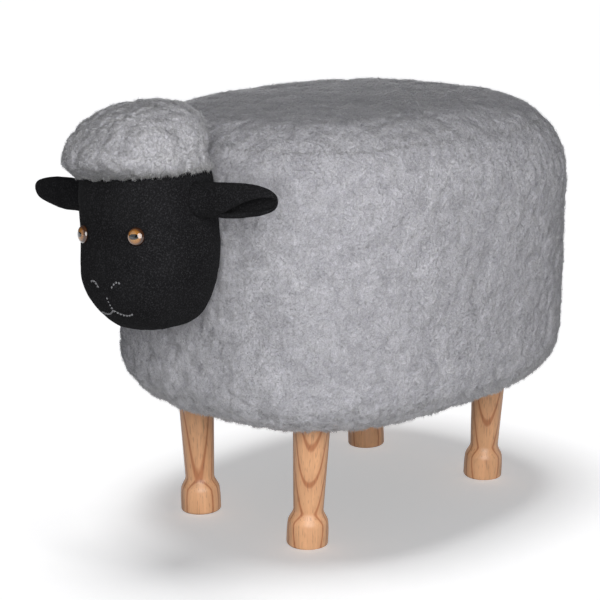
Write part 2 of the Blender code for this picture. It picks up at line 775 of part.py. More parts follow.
def make_head(panel, layers):
    """Felt head with its filling, back board, bolts, cap, ears and eyes."""
    pivot = bpy.data.objects.new("head_pivot", None)
    PIECES.objects.link(pivot)
    pivot.location = HEAD_CENTRE
    pivot.rotation_euler.y = -HEAD_ROLL
    body_cut = add_cutter("body_cut", body_solid("body_cut", -SOFT_GAP))
    skull = add_cutter("skull", head_solid("skull", -SOFT_GAP), pivot)
    cavity = add_cutter("head_cavity", head_solid("head_cavity", FELT), pivot)

    cover = add_object("head_cover", head_solid("head_cover", 0), FELT_BLACK, pivot)
    boolean(cover, cavity)
    boolean(cover, body_cut)

    board_back = HEAD_FORWARD - SOFT_GAP
    board_front = board_back - HEAD_BOARD
    board = add_object("head_board", head_solid("head_board", FELT + SOFT_GAP), PLYWOOD, pivot)
    slab_mesh = box_mesh("head_board_slab", HEAD_WIDTH, HEAD_BOARD, HEAD_HEIGHT)
    slab = add_cutter("head_board_slab", slab_mesh, pivot)
    slab.location.y = (board_back + board_front) / 2
    boolean(board, slab, "INTERSECT")

    filling = add_object("head_filling", head_solid("head_filling", FELT + SOFT_GAP), FILLING, pivot)
    behind = add_cutter("behind_filling", box_mesh("behind_filling", HEAD_WIDTH, HEAD_DEPTH, HEAD_HEIGHT), pivot)
    behind.location.y = board_front - SOFT_GAP + HEAD_DEPTH / 2
    boolean(filling, behind)

    panel_back = panel.location.y + PANEL_THICKNESS / 2 - HEAD_CENTRE.y + FIT_GAP
    nut_front = board_front - FIT_GAP - HEAD_NUT
    bolt_front = nut_front - HEAD_BOLT_END
    bore_diameter = HEAD_BOLT_DIAMETER + 2 * FIT_GAP
    bore_length = panel_back - bolt_front + 2 * OVERRUN
    for name, rise in (("upper", 0), ("lower", -HEAD_BOLT_SPACING)):
        profile = [
            (0, panel_back + HEAD_BOLT_HEAD),
            (HEAD_BOLT_FLANGE / 2, panel_back + HEAD_BOLT_HEAD),
            (HEAD_BOLT_FLANGE / 2, panel_back),
            (HEAD_BOLT_DIAMETER / 2, panel_back),
            (HEAD_BOLT_DIAMETER / 2, bolt_front),
            (0, bolt_front),
        ]
        bolt = add_object("head_bolt_" + name, outline_mesh("head_bolt_" + name, profile), ZINC, pivot)
        turn(bolt, FASTENER_SIDES)
        nut = add_object("head_nut_" + name, cylinder_mesh("head_nut", HEAD_NUT_WIDTH, HEAD_NUT, 6), ZINC, pivot)
        bore_mesh = cylinder_mesh("head_bore_" + name, bore_diameter, bore_length, FASTENER_SIDES)
        bore = add_cutter("head_bore_" + name, bore_mesh, pivot)
        pocket_mesh = cylinder_mesh("nut_pocket_" + name, HEAD_BOLT_FLANGE, 2 * (HEAD_NUT + OVERRUN), FASTENER_SIDES)
        pocket = add_cutter("nut_pocket_" + name, pocket_mesh, pivot)
        bolt.location = (0, 0, rise)
        bolt.rotation_euler.x = -QUARTER
        nut.location = (0, nut_front + HEAD_NUT / 2, rise)
        bore.location = (0, (panel_back + bolt_front) / 2, rise)
        pocket.location = (0, board_front, rise)
        for piece in (nut, bore, pocket):
            piece.rotation_euler.x = QUARTER
        boolean(nut, bore)
        boolean(filling, pocket)
        for piece in (panel, board, *layers):
            boolean(piece, bore)

    for side, across in LEFT_AND_RIGHT:
        make_eye(side, across, pivot, cover, filling)
        make_ear(side, across, pivot, skull)
    make_cap(pivot, skull, body_cut)


for old in list(bpy.data.objects):
    bpy.data.objects.remove(old)
PIECES = bpy.data.collections.new("Sheep footstool")
CUTTERS = bpy.data.collections.new("Cutters")
for group in (PIECES, CUTTERS):
    bpy.context.scene.collection.children.link(group)

FLEECE = material("fleece", (0.42, 0.42, 0.44), 0.95)
FELT_BLACK = material("black_felt", (0.018, 0.018, 0.020), 0.95)
FOAM = material("foam", (0.80, 0.74, 0.56), 0.90)
FILLING = material("fibre_filling", (0.80, 0.80, 0.78), 0.95)
DUST = material("dust_cloth", (0.02, 0.02, 0.02), 0.90)
FIBREBOARD = material("fibreboard", (0.28, 0.17, 0.09), 0.80)
PLYWOOD = material("plywood", (0.56, 0.40, 0.24), 0.65)
PINE = material("pine", (0.66, 0.47, 0.26), 0.60)
RUBBERWOOD = material("rubberwood", (0.62, 0.36, 0.19), 0.45)
ZINC = material("zinc_steel", (0.62, 0.63, 0.64), 0.30, 1.0)
EYE_PLASTIC = material("eye_plastic", (0.30, 0.13, 0.03), 0.12)
WASHER_PLASTIC = material("washer_plastic", (0.75, 0.75, 0.72), 0.50)

side_cover = make_side_cover()
make_seat_cover()
side_foam = make_side_foam()
make_seat_foam()
side_wrap = make_side_wrap()
base_plate, front_panel = make_frame()
dust_level = base_height() - FIT_GAP - DUST_COVER
dust_sheet = make_board("dust_cover", HEM_REACH + SOFT_GAP, dust_level, DUST_COVER, DUST)
make_legs(base_plate, dust_sheet)
make_head(front_panel, (side_cover, side_foam, side_wrap))
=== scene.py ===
"""Looks of the woolly sheep footstool: fleece with its pile, felt head, turned legs and the frame inside.

Metres, +Z up, floor at z = 0. The sheep faces -Y and its left flank is on +X.
"""
import math

import bmesh
import bpy
import numpy as np
from mathutils import Matrix, Vector


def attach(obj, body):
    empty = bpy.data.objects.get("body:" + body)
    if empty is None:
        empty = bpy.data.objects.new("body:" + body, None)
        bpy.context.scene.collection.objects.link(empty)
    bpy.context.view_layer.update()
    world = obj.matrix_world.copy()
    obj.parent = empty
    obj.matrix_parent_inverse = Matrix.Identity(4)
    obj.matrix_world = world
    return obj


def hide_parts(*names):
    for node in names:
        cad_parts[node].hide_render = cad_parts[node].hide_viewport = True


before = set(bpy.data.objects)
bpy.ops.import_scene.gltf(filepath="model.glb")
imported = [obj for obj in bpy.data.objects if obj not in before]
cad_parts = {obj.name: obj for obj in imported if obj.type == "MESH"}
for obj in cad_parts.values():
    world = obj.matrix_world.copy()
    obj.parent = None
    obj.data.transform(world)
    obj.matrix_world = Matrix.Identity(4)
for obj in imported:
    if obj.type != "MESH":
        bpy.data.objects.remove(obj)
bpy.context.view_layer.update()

# Body, outside the fleece
BODY_WIDTH = 0.3435
BODY_LENGTH = 0.4187
BODY_SQUARENESS = 2.7
HIND_FLARE_SHARE = 0.0186
BODY_BOTTOM = 0.1135
SEAT_HEIGHT = 0.380
SEAT_CROWN = 0.003
TOP_ROUND = 0.072
BOTTOM_ROUND = 0.048
SEAM_ANGLE = math.radians(45)
FLEECE_DEPTH = 0.012
SIDE_FOAM = 0.015
SEAT_FOAM = 0.055
HEM_REACH = 0.040
DUST_COVER = 0.001
SOFT_GAP = 0.0005
FIT_GAP = 0.0003

# Legs
FRONT_LEG_EDGE = 0.0998
HIND_LEG_EDGE = 0.0915
LEG_END_EDGE = 0.0826
LEG_LEAN = math.radians(2.62)
LEG_TOP_DIAMETER = 0.0352
ANKLE_DIAMETER = 0.0270
ANKLE_HEIGHT = 0.033
SHOULDER_DIAMETER = 0.0364
SHOULDER_HEIGHT = 0.020
FOOT_DIAMETER = 0.0374
FOOT_WIDEST = 0.010
FOOT_EDGE = 0.003
FOOT_RELIEF = 0.0005
BOLT_DIAMETER = 0.008
BOLT_IN_LEG = 0.026
OVERRUN = 0.004

# Head, measured from its own middle
HEAD_WIDTH = 0.1165
HEAD_DEPTH = 0.092
HEAD_HEIGHT = 0.153
HEAD_SQUARENESS = 2.7
HEAD_ROUNDNESS = 3.2
HEAD_BROW_ROUNDNESS = 4.3
HEAD_PRESS = 0.0064
HEAD_DROP = 0.0915
HEAD_ROLL = math.radians(6)
MUZZLE_NARROWING_SHARE = 0.21
MUZZLE_REACH_SHARE = 0.24
MUZZLE_LEVEL_SHARE = -0.50
MUZZLE_SPREAD_SHARE = 0.40
FELT = 0.002
HEAD_BOARD = 0.009
HEAD_GIRTH = 0.42
FACE_SHARE = 0.75
FACE_SEAM_SHARE = 0.175
SEAM_WIDTH = 0.0016
SEAM_DEPTH = 0.0009
PUCKER_HEIGHT = 0.0006
PUCKER_WIDTH = 0.0025
PUCKER_REACH = 0.0035
PUCKERS_CLOSER = 6
CAP_WIDTH = 0.115
CAP_DEPTH = 0.103
CAP_SQUARENESS = 2.5
CAP_FORWARD = 0.010
CAP_DROP = 0.0075
CAP_RISE = 0.0435
CAP_FALL = 0.014
CAP_HUG = 0.0025
CAP_HUG_BEND = 1.7
CAP_LEAN = 0.018
CAP_DOME = 2.3
CAP_LINING_SHARE = 0.985
CAP_EDGE_WAVE = 0.0026
EAR_REACH = 0.142
EAR_ROOT = 0.046
EAR_DROP = 0.0445
EAR_BACK = 0.003
EAR_RADIUS = 0.0145
EAR_FLATNESS_SHARE = 0.64
EAR_ROOT_RADIUS_SHARE = 0.80
EAR_FULLEST_SHARE = 0.42
EAR_SEWN_SHARE = 0.28
EAR_TIP_SHARE = 0.20
EAR_TIP_ROUNDNESS = 2.4
EAR_WAVE_BACK_SHARE = 0.6
RIGHT_EAR_LIFT = 0.0065
EAR_FILLET = 0.004
EAR_FILLET_RUN = 0.006
EAR_FILLET_FALL = 1.2
EAR_FILLET_UP_SHARE = 0.5
EAR_THICKNESS = 0.0042
EAR_SLIT = math.radians(3)
EAR_FOLDS = {
    "left": (math.radians(246), math.radians(126), math.radians(262)),
    "right": (math.radians(284), math.radians(232), math.radians(296)),
}
EYE_SPREAD = 0.031
EYE_LEVEL = 0.008
EYE_DIAMETER = 0.0150
EYE_DOME = 0.0050
EYE_RIM = 0.0004
EYE_STEM = 0.0040
EYE_STEM_LENGTH = 0.0110
EYE_STANDOFF = 0.0010
PUPIL_SHARES = (0.30, 0.155)

# Sewing and staples
STITCH = 0.0026
STITCH_GAP = 0.0004
THREAD_RADIUS = 0.0008
THREAD_ARCH_SHARE = 1.1
THREAD_TIP_SHARE = 0.35
THREAD_FLATNESS_SHARE = 0.8
THREAD_SUNK_SHARE = 0.6
NOSTRIL_START = 0.0075
NOSTRIL_RUN = 0.0105
NOSTRIL_LEVEL = -0.0335
NOSTRIL_ARCH = 0.0055
NOSTRIL_SWEEP = math.radians(135)
MOUTH_RUN = 0.019
MOUTH_LEVEL = -0.0530
MOUTH_ARCH = 0.0045
MOUTH_SWEEP = math.radians(144)
LIP_LINE_TOP = -0.0410
LIP_LINE_BOTTOM = -0.0525
STAPLE_WIRE = 0.0011
STAPLE_WIDTH = 0.0100
STAPLE_LEG = 0.0050
HEM_STAPLE_EDGE = 0.005
CLOTH_STAPLE_EDGE = 0.006
HEM_STAPLES = 44
CLOTH_STAPLES = 36
CLOTH_TAUT_SHARE = 0.125

# Places that follow from the sizes above
QUARTER = math.pi / 2
TURN = 2 * math.pi
LEFT_AND_RIGHT = (("left", 1), ("right", -1))
HEAD_FORWARD = HEAD_DEPTH / 2 - HEAD_PRESS
BODY_Y = (HEAD_FORWARD + CAP_FORWARD + CAP_DEPTH / 2) / 2
BODY_FRONT = BODY_Y - BODY_LENGTH / 2
HEAD_CENTRE = Vector((0, BODY_FRONT - HEAD_FORWARD, SEAT_HEIGHT - HEAD_DROP))
HEAD_PLACE = Matrix.Translation(HEAD_CENTRE) @ Matrix.Rotation(-HEAD_ROLL, 4, "Y")
CAP_LEVEL = HEAD_HEIGHT / 2 - CAP_DROP
EAR_LEVEL = HEAD_HEIGHT / 2 - EAR_DROP
FOAM_INSET = FLEECE_DEPTH + SOFT_GAP
FOAM_INNER = FOAM_INSET + SIDE_FOAM
WRAP_INSET = FOAM_INNER + SOFT_GAP
SEAT_BOARD_TOP = SEAT_HEIGHT - FLEECE_DEPTH - SEAT_FOAM

# Relief of the fleece
LUMP = 0.030
TUFT = 0.0125
CURL = 0.0060
LUMP_HEIGHT = 0.0014
TUFT_HEIGHT = 0.0018
CURL_HEIGHT = 0.0009
TUFT_BEND_SHARE = 0.25
KNOB_CREASE = 6.0
KNOB_REACH = 0.56
PILE_SET_IN = 0.0017
PRESS_FADE = 0.0035
PRESS_DEPTH = 0.0008
HEM_FADE = 0.008
SEAM_TOUCH = 0.0002
SEAM_ROW_SHARE = 0.1
SEAT_FLATTENED_SHARE = 0.5
# Painted light on the pile: the share that a skin's crests take, and the even value of its hidden points
SKIN_SHADE_SHARE = 0.8
HIDDEN_SHADE_SHARE = 0.4

# Locks of the pile
LOCK_LENGTHS = (0.0018, 0.0044)
LOCK_RADIUS = 0.00015
LOCK_ROOT = 0.0006
LOCK_LIFT = 0.0007
STRAY_LIFT = 0.0018
STRAY_RARITY = 5
SWIRL = 0.020
HEADING_SPREAD = 1.6
GATHERING = 2.5
# Painted glints: a share of the locks, more where they gather, made longer and painted with the palest tones
PAINTED_GLINT_SHARE = 0.09
PAINTED_GLINT_LONGER_SHARE = 1.5
PAINTED_GLINT_TONE_SHARES = (0.88, 1.0)
UNGLINTED_TONE_SHARE = 0.85
UNGLINTED_TONE_CAP = 0.8
TONE_SPREAD = 0.10
HOOK_SHARE = 0.75
LIFT_SHARES = (0.15, 1.0)
RADIUS_SHARES = (0.65, 1.25)
STATION_SHARES = ((0.0, 0.85), (0.52, 1.0), (1.0, 0.0))
ARCH_SHARES = (0.15, 0.75)
BEHIND_SHARE = 0.3
LEVEL_SHARE = 0.2
LOCK_SIDES = 3
SIDE_LOCKS = 132000
SIDE_SECTORS = 8
TOP_LOCKS = 52000
TOP_STRIPS = 4
SEAM_LOCKS = 700
BARE_SHARE = 0.4
HEM_MARGIN = 0.001
HANGING_DRAWN = 260000
HANGING_SHARE = 0.32
HANGING_FALL = 0.7
HANGING_SIZE = 1.15
HANGING_FACES = (-0.985, -0.45)
CAP_FULLER_SHARE = 1.1
CAP_FINER_SHARE = 1.2
CAP_HEM_SHARE = 0.2
CAP_LOCKS = 20000
FRINGE_LOCKS = 3600
FRINGE_FALL = 0.75
CAP_MARGIN = 0.001

# Soft unevenness: waves with a height, a size and a seed each
CLOTH_SAG = ((0.0012, 0.05, 91),)
FELT_RELIEF = ((0.0007, 0.030, 61), (0.00025, 0.007, 62))
PUCKER_RELIEF = ((0.5, 0.02, 63),)
FILLING_RELIEF = ((0.0006, 0.012, 65),)
EAR_RELIEF = {
    "left": ((0.0006, 0.02, 71), (0.0002, 0.006, 73)),
    "right": ((0.0006, 0.02, 72), (0.0002, 0.006, 73)),
}

# Seeds of the random patterns
FLEECE_SEED = 11
SIDE_AND_TOP_SEED = 31
LOCK_SEED = 41
HANGING_SEED = 43
GATHER_SEED = 57
CAP_SEED = 81
CAP_DRAW_SEED = 83
CAP_EDGE_SEED = 84
CAP_LOCK_SEED = 85

# Fineness of the meshes
SKIN_STEP = 0.0021
FOAM_STEP = 0.007
RING_SAMPLES = 20000
PROFILE_SAMPLES = 2000
LINING_STEPS = 7
FOAM_EDGE_STEPS = 9
FOAM_WALL_STEPS = 14
FOAM_UNDER_STEPS = 20
CLOTH_STEPS = 40
CLOTH_COLUMNS = 180
FOOT_STEPS = 8
SHOULDER_STEPS = 6
ANKLE_STEPS = 15
SHAFT_STEPS = 26
LEG_SIDES = 96
BORE_SIDES = 32
HEAD_LEVELS = 150
HEAD_COLUMNS = 260
HEAD_LINING_LEVELS = 60
FILLING_LEVELS = 46
FILLING_COLUMNS = 90
EAR_STATIONS = 72
EAR_STEPS = 34
RIM_STEPS = 8
CAP_COLUMNS = 240
CAP_FALL_STEPS = 12
CAP_RISE_STEPS = 50
CAP_HEM_ROWS = 2
CAP_FADE_ROWS = 8
EYE_SIDES = 64
EYE_STEPS = 18
FACE_LINE_STEPS = 12
THREAD_SIDES = 8
THREAD_STATIONS = 7
STAPLE_COLUMNS = 8
CREASE_ANGLE = math.radians(50)
LATTICE = 256
TINY = 1e-12
LAST_SHARE = 0.999


# Arrays of points

def squared(value, squareness):
    """Cosines or sines bent towards a rounded square."""
    return np.sign(value) * np.abs(value) ** (2 / squareness)


def bulge(share, squareness):
    """How far a rounded square reaches one way, at a share of its half width the other way."""
    return np.clip(1 - np.abs(share) ** squareness, 0, 1) ** (1 / squareness)


def stacked(*coordinates):
    """Points from coordinates of fitting shapes."""
    return np.stack(np.broadcast_arrays(*coordinates), axis=-1)


def unit(vectors):
    """Vectors brought to length one."""
    return vectors / np.maximum(np.linalg.norm(vectors, axis=-1, keepdims=True), TINY)


def moved(points, place):
    """Points turned and shifted to a place."""
    place = np.array(place)
    return points @ place[:3, :3].T + place[:3, 3]


def round_turn(columns):
    """Angles of the columns of a ring."""
    return np.linspace(0, TURN, columns, endpoint=False)[None, :]


def run_along(path):
    """How far along a path each of its points lies."""
    return np.concatenate(([0], np.cumsum(np.linalg.norm(np.diff(path, axis=0), axis=1))))


def resampled(profile, spacing):
    """The points of a profile, evenly spaced along it, and how far along each lies."""
    profile = np.asarray(profile, dtype=float)
    run = run_along(profile)
    at = np.linspace(0, run[-1], max(3, round(run[-1] / spacing) + 1))
    return np.stack([np.interp(at, run, profile[:, i]) for i in range(profile.shape[1])], axis=-1), at


def normals_of(rows):
    """The directions that a skin of closed rings looks in."""
    along = np.roll(rows, -1, axis=1) - np.roll(rows, 1, axis=1)
    return unit(np.cross(along, np.gradient(rows, axis=0)))


# Meshes and pieces

def mesh_from(name, points, quads, triangles=()):
    """A smooth mesh from arrays of points, four-cornered faces and triangles."""
    quads = np.asarray(quads, dtype=np.int32).reshape(-1, 4)
    triangles = np.asarray(triangles, dtype=np.int32).reshape(-1, 3)
    corners = np.concatenate((quads.ravel(), triangles.ravel()))
    quad_starts = 4 * np.arange(len(quads))
    triangle_starts = quads.size + 3 * np.arange(len(triangles))
    starts = np.concatenate((quad_starts, triangle_starts)).astype(np.int32)
    mesh = bpy.data.meshes.new(name)
    mesh.vertices.add(len(points))
    mesh.vertices.foreach_set("co", np.asarray(points, dtype=np.float32).ravel())
    mesh.loops.add(len(corners))
    mesh.loops.foreach_set("vertex_index", corners)
    mesh.polygons.add(len(starts))
    mesh.polygons.foreach_set("loop_start", starts)
    mesh.polygons.foreach_set("use_smooth", np.ones(len(starts), dtype=bool))
    mesh.update(calc_edges=True)
    mesh.validate()
    return mesh


def rows_mesh(name, rows, wrap=False, zipped=False):
    """Skin over rows of rings.

    Wrapped rows close on themselves, zipped ends join a leaf's two faces, and other ends get a middle.
    """
    count, columns = rows.shape[:2]
    points = rows.reshape(-1, 3)
    row = np.arange(count if wrap else count - 1)[:, None] * columns
    column = np.arange(columns)[None, :]
    beside = (column + 1) % columns
    above = (row + columns) % (count * columns)
    quads = stacked(row + column, row + beside, above + beside, above + column).reshape(-1, 4)
    if wrap:
        return mesh_from(name, points, quads)
    top = (count - 1) * columns
    if zipped:
        ends = []
        for start, sense in ((0, -1), (top, 1)):
            for i in range(-RIM_STEPS // 2, (columns - RIM_STEPS) // 2):
                near, far = i % columns, (i + 1) % columns
                across = [(columns - RIM_STEPS - corner) % columns for corner in (far, near)]
                ends.append([start + corner for corner in (near, far, *across)[::sense]])
        triangles = [list(dict.fromkeys(end)) for end in ends if len(set(end)) == 3]
        ends = [end for end in ends if len(set(end)) == 4]
        return mesh_from(name, points, np.concatenate((quads, np.array(ends))), triangles)
    points = np.concatenate((points, (rows[0].mean(0), rows[-1].mean(0))))
    ring = np.arange(columns)
    following = (ring + 1) % columns
    low = stacked(following, ring, count * columns)
    high = stacked(top + ring, top + following, count * columns + 1)
    return mesh_from(name, points, quads, np.concatenate((low, high)))


def lathe(name, profile, sides):
    """Turn a profile of (radius, height) points about Z."""
    radius, z = (np.asarray(profile)[:, i, None] for i in range(2))
    turned = round_turn(sides)
    return rows_mesh(name, stacked(radius * np.cos(turned), radius * np.sin(turned), z))


def worked_mesh(name, bm):
    """The mesh of a finished set of boxes."""
    mesh = bpy.data.meshes.new(name)
    bm.to_mesh(mesh)
    bm.free()
    return mesh


def creased(mesh):
    """The mesh, smooth but for its sharp edges."""
    mesh.shade_smooth()
    mesh.set_sharp_from_angle(angle=CREASE_ANGLE)
    return mesh


def put(name, data, place=None):
    """An object in the scene."""
    made = bpy.data.objects.new(name, data)
    bpy.context.scene.collection.objects.link(made)
    if place is not None:
        made.matrix_world = place
    return made


def add_piece(name, mesh, finish, place=None, replaced=()):
    """A piece of the footstool, in the material slot that it takes its finish from."""
    piece = put(name, mesh, place)
    mesh.materials.append(finish)
    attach(piece, "root")
    if replaced:
        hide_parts(*replaced)
    return piece


# Noise

def lattice_cells(points, size, draw):
    """The cell of a lattice that each point lies in, and its place inside the cell."""
    place = np.asarray(points).reshape(-1, 3) / size + draw.uniform(0, LATTICE / 4, 3)
    cell = np.floor(place).astype(np.int64)
    return cell, place - cell


def drawn_for(order, index):
    """A number drawn for each cell of the lattice, the same one each time."""
    last = LATTICE - 1
    return order[(order[(order[index[:, 0] & last] + index[:, 1]) & last] + index[:, 2]) & last]


def lumps(points, size, seed):
    """Smooth noise, about -1 to 1, whose bumps have a given size."""
    draw = np.random.default_rng(seed)
    order = draw.permutation(LATTICE)
    arrows = unit(draw.normal(size=(LATTICE, 3)))
    cell, inside = lattice_cells(points, size, draw)
    blend = inside ** 3 * (inside * (inside * 6 - 15) + 10)
    total = np.zeros(len(cell))
    for corner in np.ndindex(2, 2, 2):
        weight = np.prod(np.where(corner, blend, 1 - blend), axis=1)
        total += weight * np.einsum("ij,ij->i", arrows[drawn_for(order, cell + corner)], inside - corner)
    return (1.6 * total).reshape(np.shape(points)[:-1])


def knobs(points, size, seed):
    """Round knobs packed at random, from 0 between them to 1 on top of each."""
    draw = np.random.default_rng(seed)
    order = draw.permutation(LATTICE)
    middles = draw.uniform(0.1, 0.9, (LATTICE, 3))
    cell, inside = lattice_cells(points, size, draw)
    total = np.zeros(len(cell))
    for corner in np.ndindex(3, 3, 3):
        step = np.array(corner) - 1
        away = step + middles[drawn_for(order, cell + step)] - inside
        total += np.exp(-KNOB_CREASE * np.einsum("ij,ij->i", away, away))
    near = -np.log(total) / KNOB_CREASE
    rise = np.clip(1 - near / KNOB_REACH, 0, 1).reshape(np.shape(points)[:-1])
    return rise * rise * (3 - 2 * rise)


def relief(points, waves):
    """Soft unevenness, the sum of waves that each have a height, a size and a seed."""
    return sum(height * lumps(points, size, seed) for height, size, seed in waves)


# Materials

class Nodes:
    """A material, with short ways to add its nodes."""

    def __init__(self, name, **values):
        """A new material, with plain values set on the shader's own sockets."""
        self.material = bpy.data.materials.new(name)
        self.material.use_nodes = True
        self.tree = self.material.node_tree
        self.shader = self.tree.nodes["Principled BSDF"]
        for socket, value in values.items():
            self.shader.inputs[socket.replace("_", " ")].default_value = value

    def feed(self, sockets, values):
        """Link or set each value of a row to its socket."""
        for socket, value in zip(sockets, values):
            if isinstance(value, bpy.types.NodeSocket):
                self.tree.links.new(value, socket)
            else:
                socket.default_value = value

    def add(self, kind, inputs=None, **properties):
        """A node, with its properties set and its inputs set or linked."""
        node = self.tree.nodes.new("ShaderNode" + kind)
        for name, value in properties.items():
            setattr(node, name, value)
        inputs = inputs or {}
        self.feed([node.inputs[name] for name in inputs], inputs.values())
        return node

    def where(self, stretch=(1, 1, 1)):
        """Places on the piece in metres, stretched per axis."""
        place = self.add("TexCoord").outputs["Object"]
        return self.add("Mapping", {"Vector": place, "Scale": stretch}).outputs["Vector"]

    def axes(self, vector):
        """The three parts of a vector, by the names of their axes."""
        return self.add("SeparateXYZ", {"Vector": vector}).outputs

    def noise(self, scale, detail=3.0, roughness=0.55, stretch=(1, 1, 1), distortion=0.0):
        """A noise pattern's value."""
        inputs = {"Vector": self.where(stretch), "Scale": scale, "Detail": detail}
        inputs |= {"Roughness": roughness, "Distortion": distortion}
        return self.add("TexNoise", inputs).outputs["Fac"]

    def cells(self, scale, distance="EUCLIDEAN"):
        """How far places lie from the middles of packed cells."""
        inputs = {"Vector": self.where(), "Scale": scale}
        return self.add("TexVoronoi", inputs, distance=distance).outputs["Distance"]

    def ramp(self, value, stops):
        """Colours or greys between two or more stops."""
        node = self.add("ValToRGB", {"Fac": value})
        elements = node.color_ramp.elements
        while len(elements) < len(stops):
            elements.new(0.5)
        for element, (position, colour) in zip(elements, stops):
            element.position = position
            element.color = (*colour, 1) if isinstance(colour, tuple) else (colour, colour, colour, 1)
        return node.outputs["Color"]

    def mix(self, share, first, second, mode="MIX"):
        """One colour mixed into another."""
        node = self.add("Mix", data_type="RGBA", blend_type=mode)
        self.feed((node.inputs[0], node.inputs[6], node.inputs[7]), (share, first, second))
        return node.outputs[2]

    def tint(self, colour, pattern, stops, share=1.0):
        """A colour multiplied by greys that follow a pattern."""
        return self.mix(share, colour, self.ramp(pattern, stops), "MULTIPLY")

    def math(self, operation, first, second=0.0):
        """A sum on values."""
        node = self.add("Math", operation=operation)
        self.feed(node.inputs[:2], (first, second))
        return node.outputs[0]

    def powers(self, *terms):
        """Two values' sizes, each raised to a power, added up."""
        first, second = (self.math("POWER", self.math("ABSOLUTE", value), power) for value, power in terms)
        return self.math("ADD", first, second)

    def finish(self, colour, relief, strength, distance):
        """The finished material, with its colour and the relief of a pattern."""
        self.tree.links.new(colour, self.shader.inputs["Base Color"])
        node = self.add("Bump", {"Height": relief, "Strength": strength, "Distance": distance})
        self.tree.links.new(node.outputs["Normal"], self.shader.inputs["Normal"])
        return self.material


def fleece_finish(name, dark, pale):
    """Grey pile with soft patches and pale wisps, painted paler on its crests and glints and darker in its
    creases.
    """
    made = Nodes(
        name, Roughness=0.95, Specular_IOR_Level=0.03,
        Subsurface_Weight=1.0, Subsurface_Radius=(0.0022, 0.0022, 0.0024), Subsurface_Scale=1.0,
    )
    grey = made.ramp(made.noise(42, 5.0, 0.6, distortion=1.2), ((0.34, dark), (0.66, pale)))
    wisps = made.noise(150, 4.0, 0.66, distortion=1.6)
    grey = made.tint(grey, wisps, ((0.36, 0.93), (0.54, 1.0), (0.72, 1.26)))
    # Painted light from the points: paler on crests and painted glints, painted shade in the creases.
    share = made.add("Attribute", attribute_name="pile_painted_light").outputs["Fac"]
    grey = made.tint(grey, share, ((0.0, 0.94), (0.4, 0.99), (0.8, 1.07), (1.0, 1.36)))
    grey = made.tint(grey, made.noise(900, 2.0, 0.7), ((0.3, 0.80), (0.7, 1.18)))
    return made.finish(grey, made.noise(1400, 2.0, 0.7), 0.2, 0.0006)


# Body surfaces

def ring_shares(columns):
    """Across and along shares of the body's plan, evenly spaced round its edge."""
    turned = np.linspace(0, TURN, RING_SAMPLES)
    across = squared(np.cos(turned), BODY_SQUARENESS)
    along = squared(np.sin(turned), BODY_SQUARENESS)
    run = run_along(stacked(BODY_WIDTH / 2 * across, BODY_LENGTH / 2 * along))
    at = np.linspace(0, run[-1], columns, endpoint=False)
    return np.interp(at, run, across), np.interp(at, run, along), run[-1]


def body_rows(profile, columns):
    """Rings of the body at a row of (inset, height, share) points."""
    across, along, _ = ring_shares(columns)
    inset, z, share = (np.asarray(profile)[:, i, None] for i in range(3))
    x = (BODY_WIDTH / 2 - inset) * share * across * (1 + HIND_FLARE_SHARE * along)
    y = BODY_Y + (BODY_LENGTH / 2 - inset) * share * along
    return stacked(x, y, z)


def arc(start, end):
    """Angles along a rounded edge."""
    return np.linspace(start, end, PROFILE_SAMPLES)


def angle_at(share):
    """The angle whose sine is a share, or the nearest that there is."""
    return math.asin(min(1.0, max(0.0, share)))


def lower_edge(offset, angle):
    """Insets and heights on the rounded lower edge, from underneath (0) to the side."""
    radius = BOTTOM_ROUND - offset
    inset = offset + radius * (1 - np.sin(angle))
    return stacked(inset, BODY_BOTTOM + offset + radius * (1 - np.cos(angle)), 1.0)


def lower_angle(offset, inset):
    """The angle on the lower edge at an inset from the body's side."""
    return angle_at(1 - (inset - offset) / (BOTTOM_ROUND - offset))


def upper_edge(offset, angle):
    """Insets and heights on the rounded upper edge, from the side (0) to the top."""
    radius = TOP_ROUND - offset
    inset = offset + radius * (1 - np.cos(angle))
    return stacked(inset, SEAT_HEIGHT - offset - radius * (1 - np.sin(angle)), 1.0)


def upper_angle(offset, z):
    """The angle on the upper edge at a height."""
    return angle_at((z - SEAT_HEIGHT + TOP_ROUND) / (TOP_ROUND - offset))


def crown(offset, spacing):
    """The gently crowned middle of the seat, from its edge inwards."""
    half = BODY_WIDTH / 2 - TOP_ROUND
    share = np.linspace(1, 0, max(4, round(half / spacing)))[1:-1]
    return stacked(TOP_ROUND, SEAT_HEIGHT - offset + SEAT_CROWN * (1 - share * share), share)


HEM_ANGLE = lower_angle(FLEECE_DEPTH, WRAP_INSET)
BASE = lower_edge(FLEECE_DEPTH, HEM_ANGLE)[1] + SOFT_GAP
RING_LENGTH = ring_shares(1)[2]
SKIN_COLUMNS = round(RING_LENGTH / SKIN_STEP)
FOAM_COLUMNS = round(RING_LENGTH / FOAM_STEP)


def body_front_at(x, z):
    """How far forward the outside of the body reaches at places across it and heights."""
    up = np.clip((z - SEAT_HEIGHT + TOP_ROUND) / TOP_ROUND, 0, 1)
    down = np.clip((BODY_BOTTOM + BOTTOM_ROUND - z) / BOTTOM_ROUND, 0, 1)
    inset = TOP_ROUND * (1 - np.sqrt(1 - up * up)) + BOTTOM_ROUND * (1 - np.sqrt(1 - down * down))
    half_width = (BODY_WIDTH / 2 - inset) * (1 - HIND_FLARE_SHARE)
    return BODY_Y - (BODY_LENGTH / 2 - inset) * bulge(x / half_width, BODY_SQUARENESS)


# Head surfaces

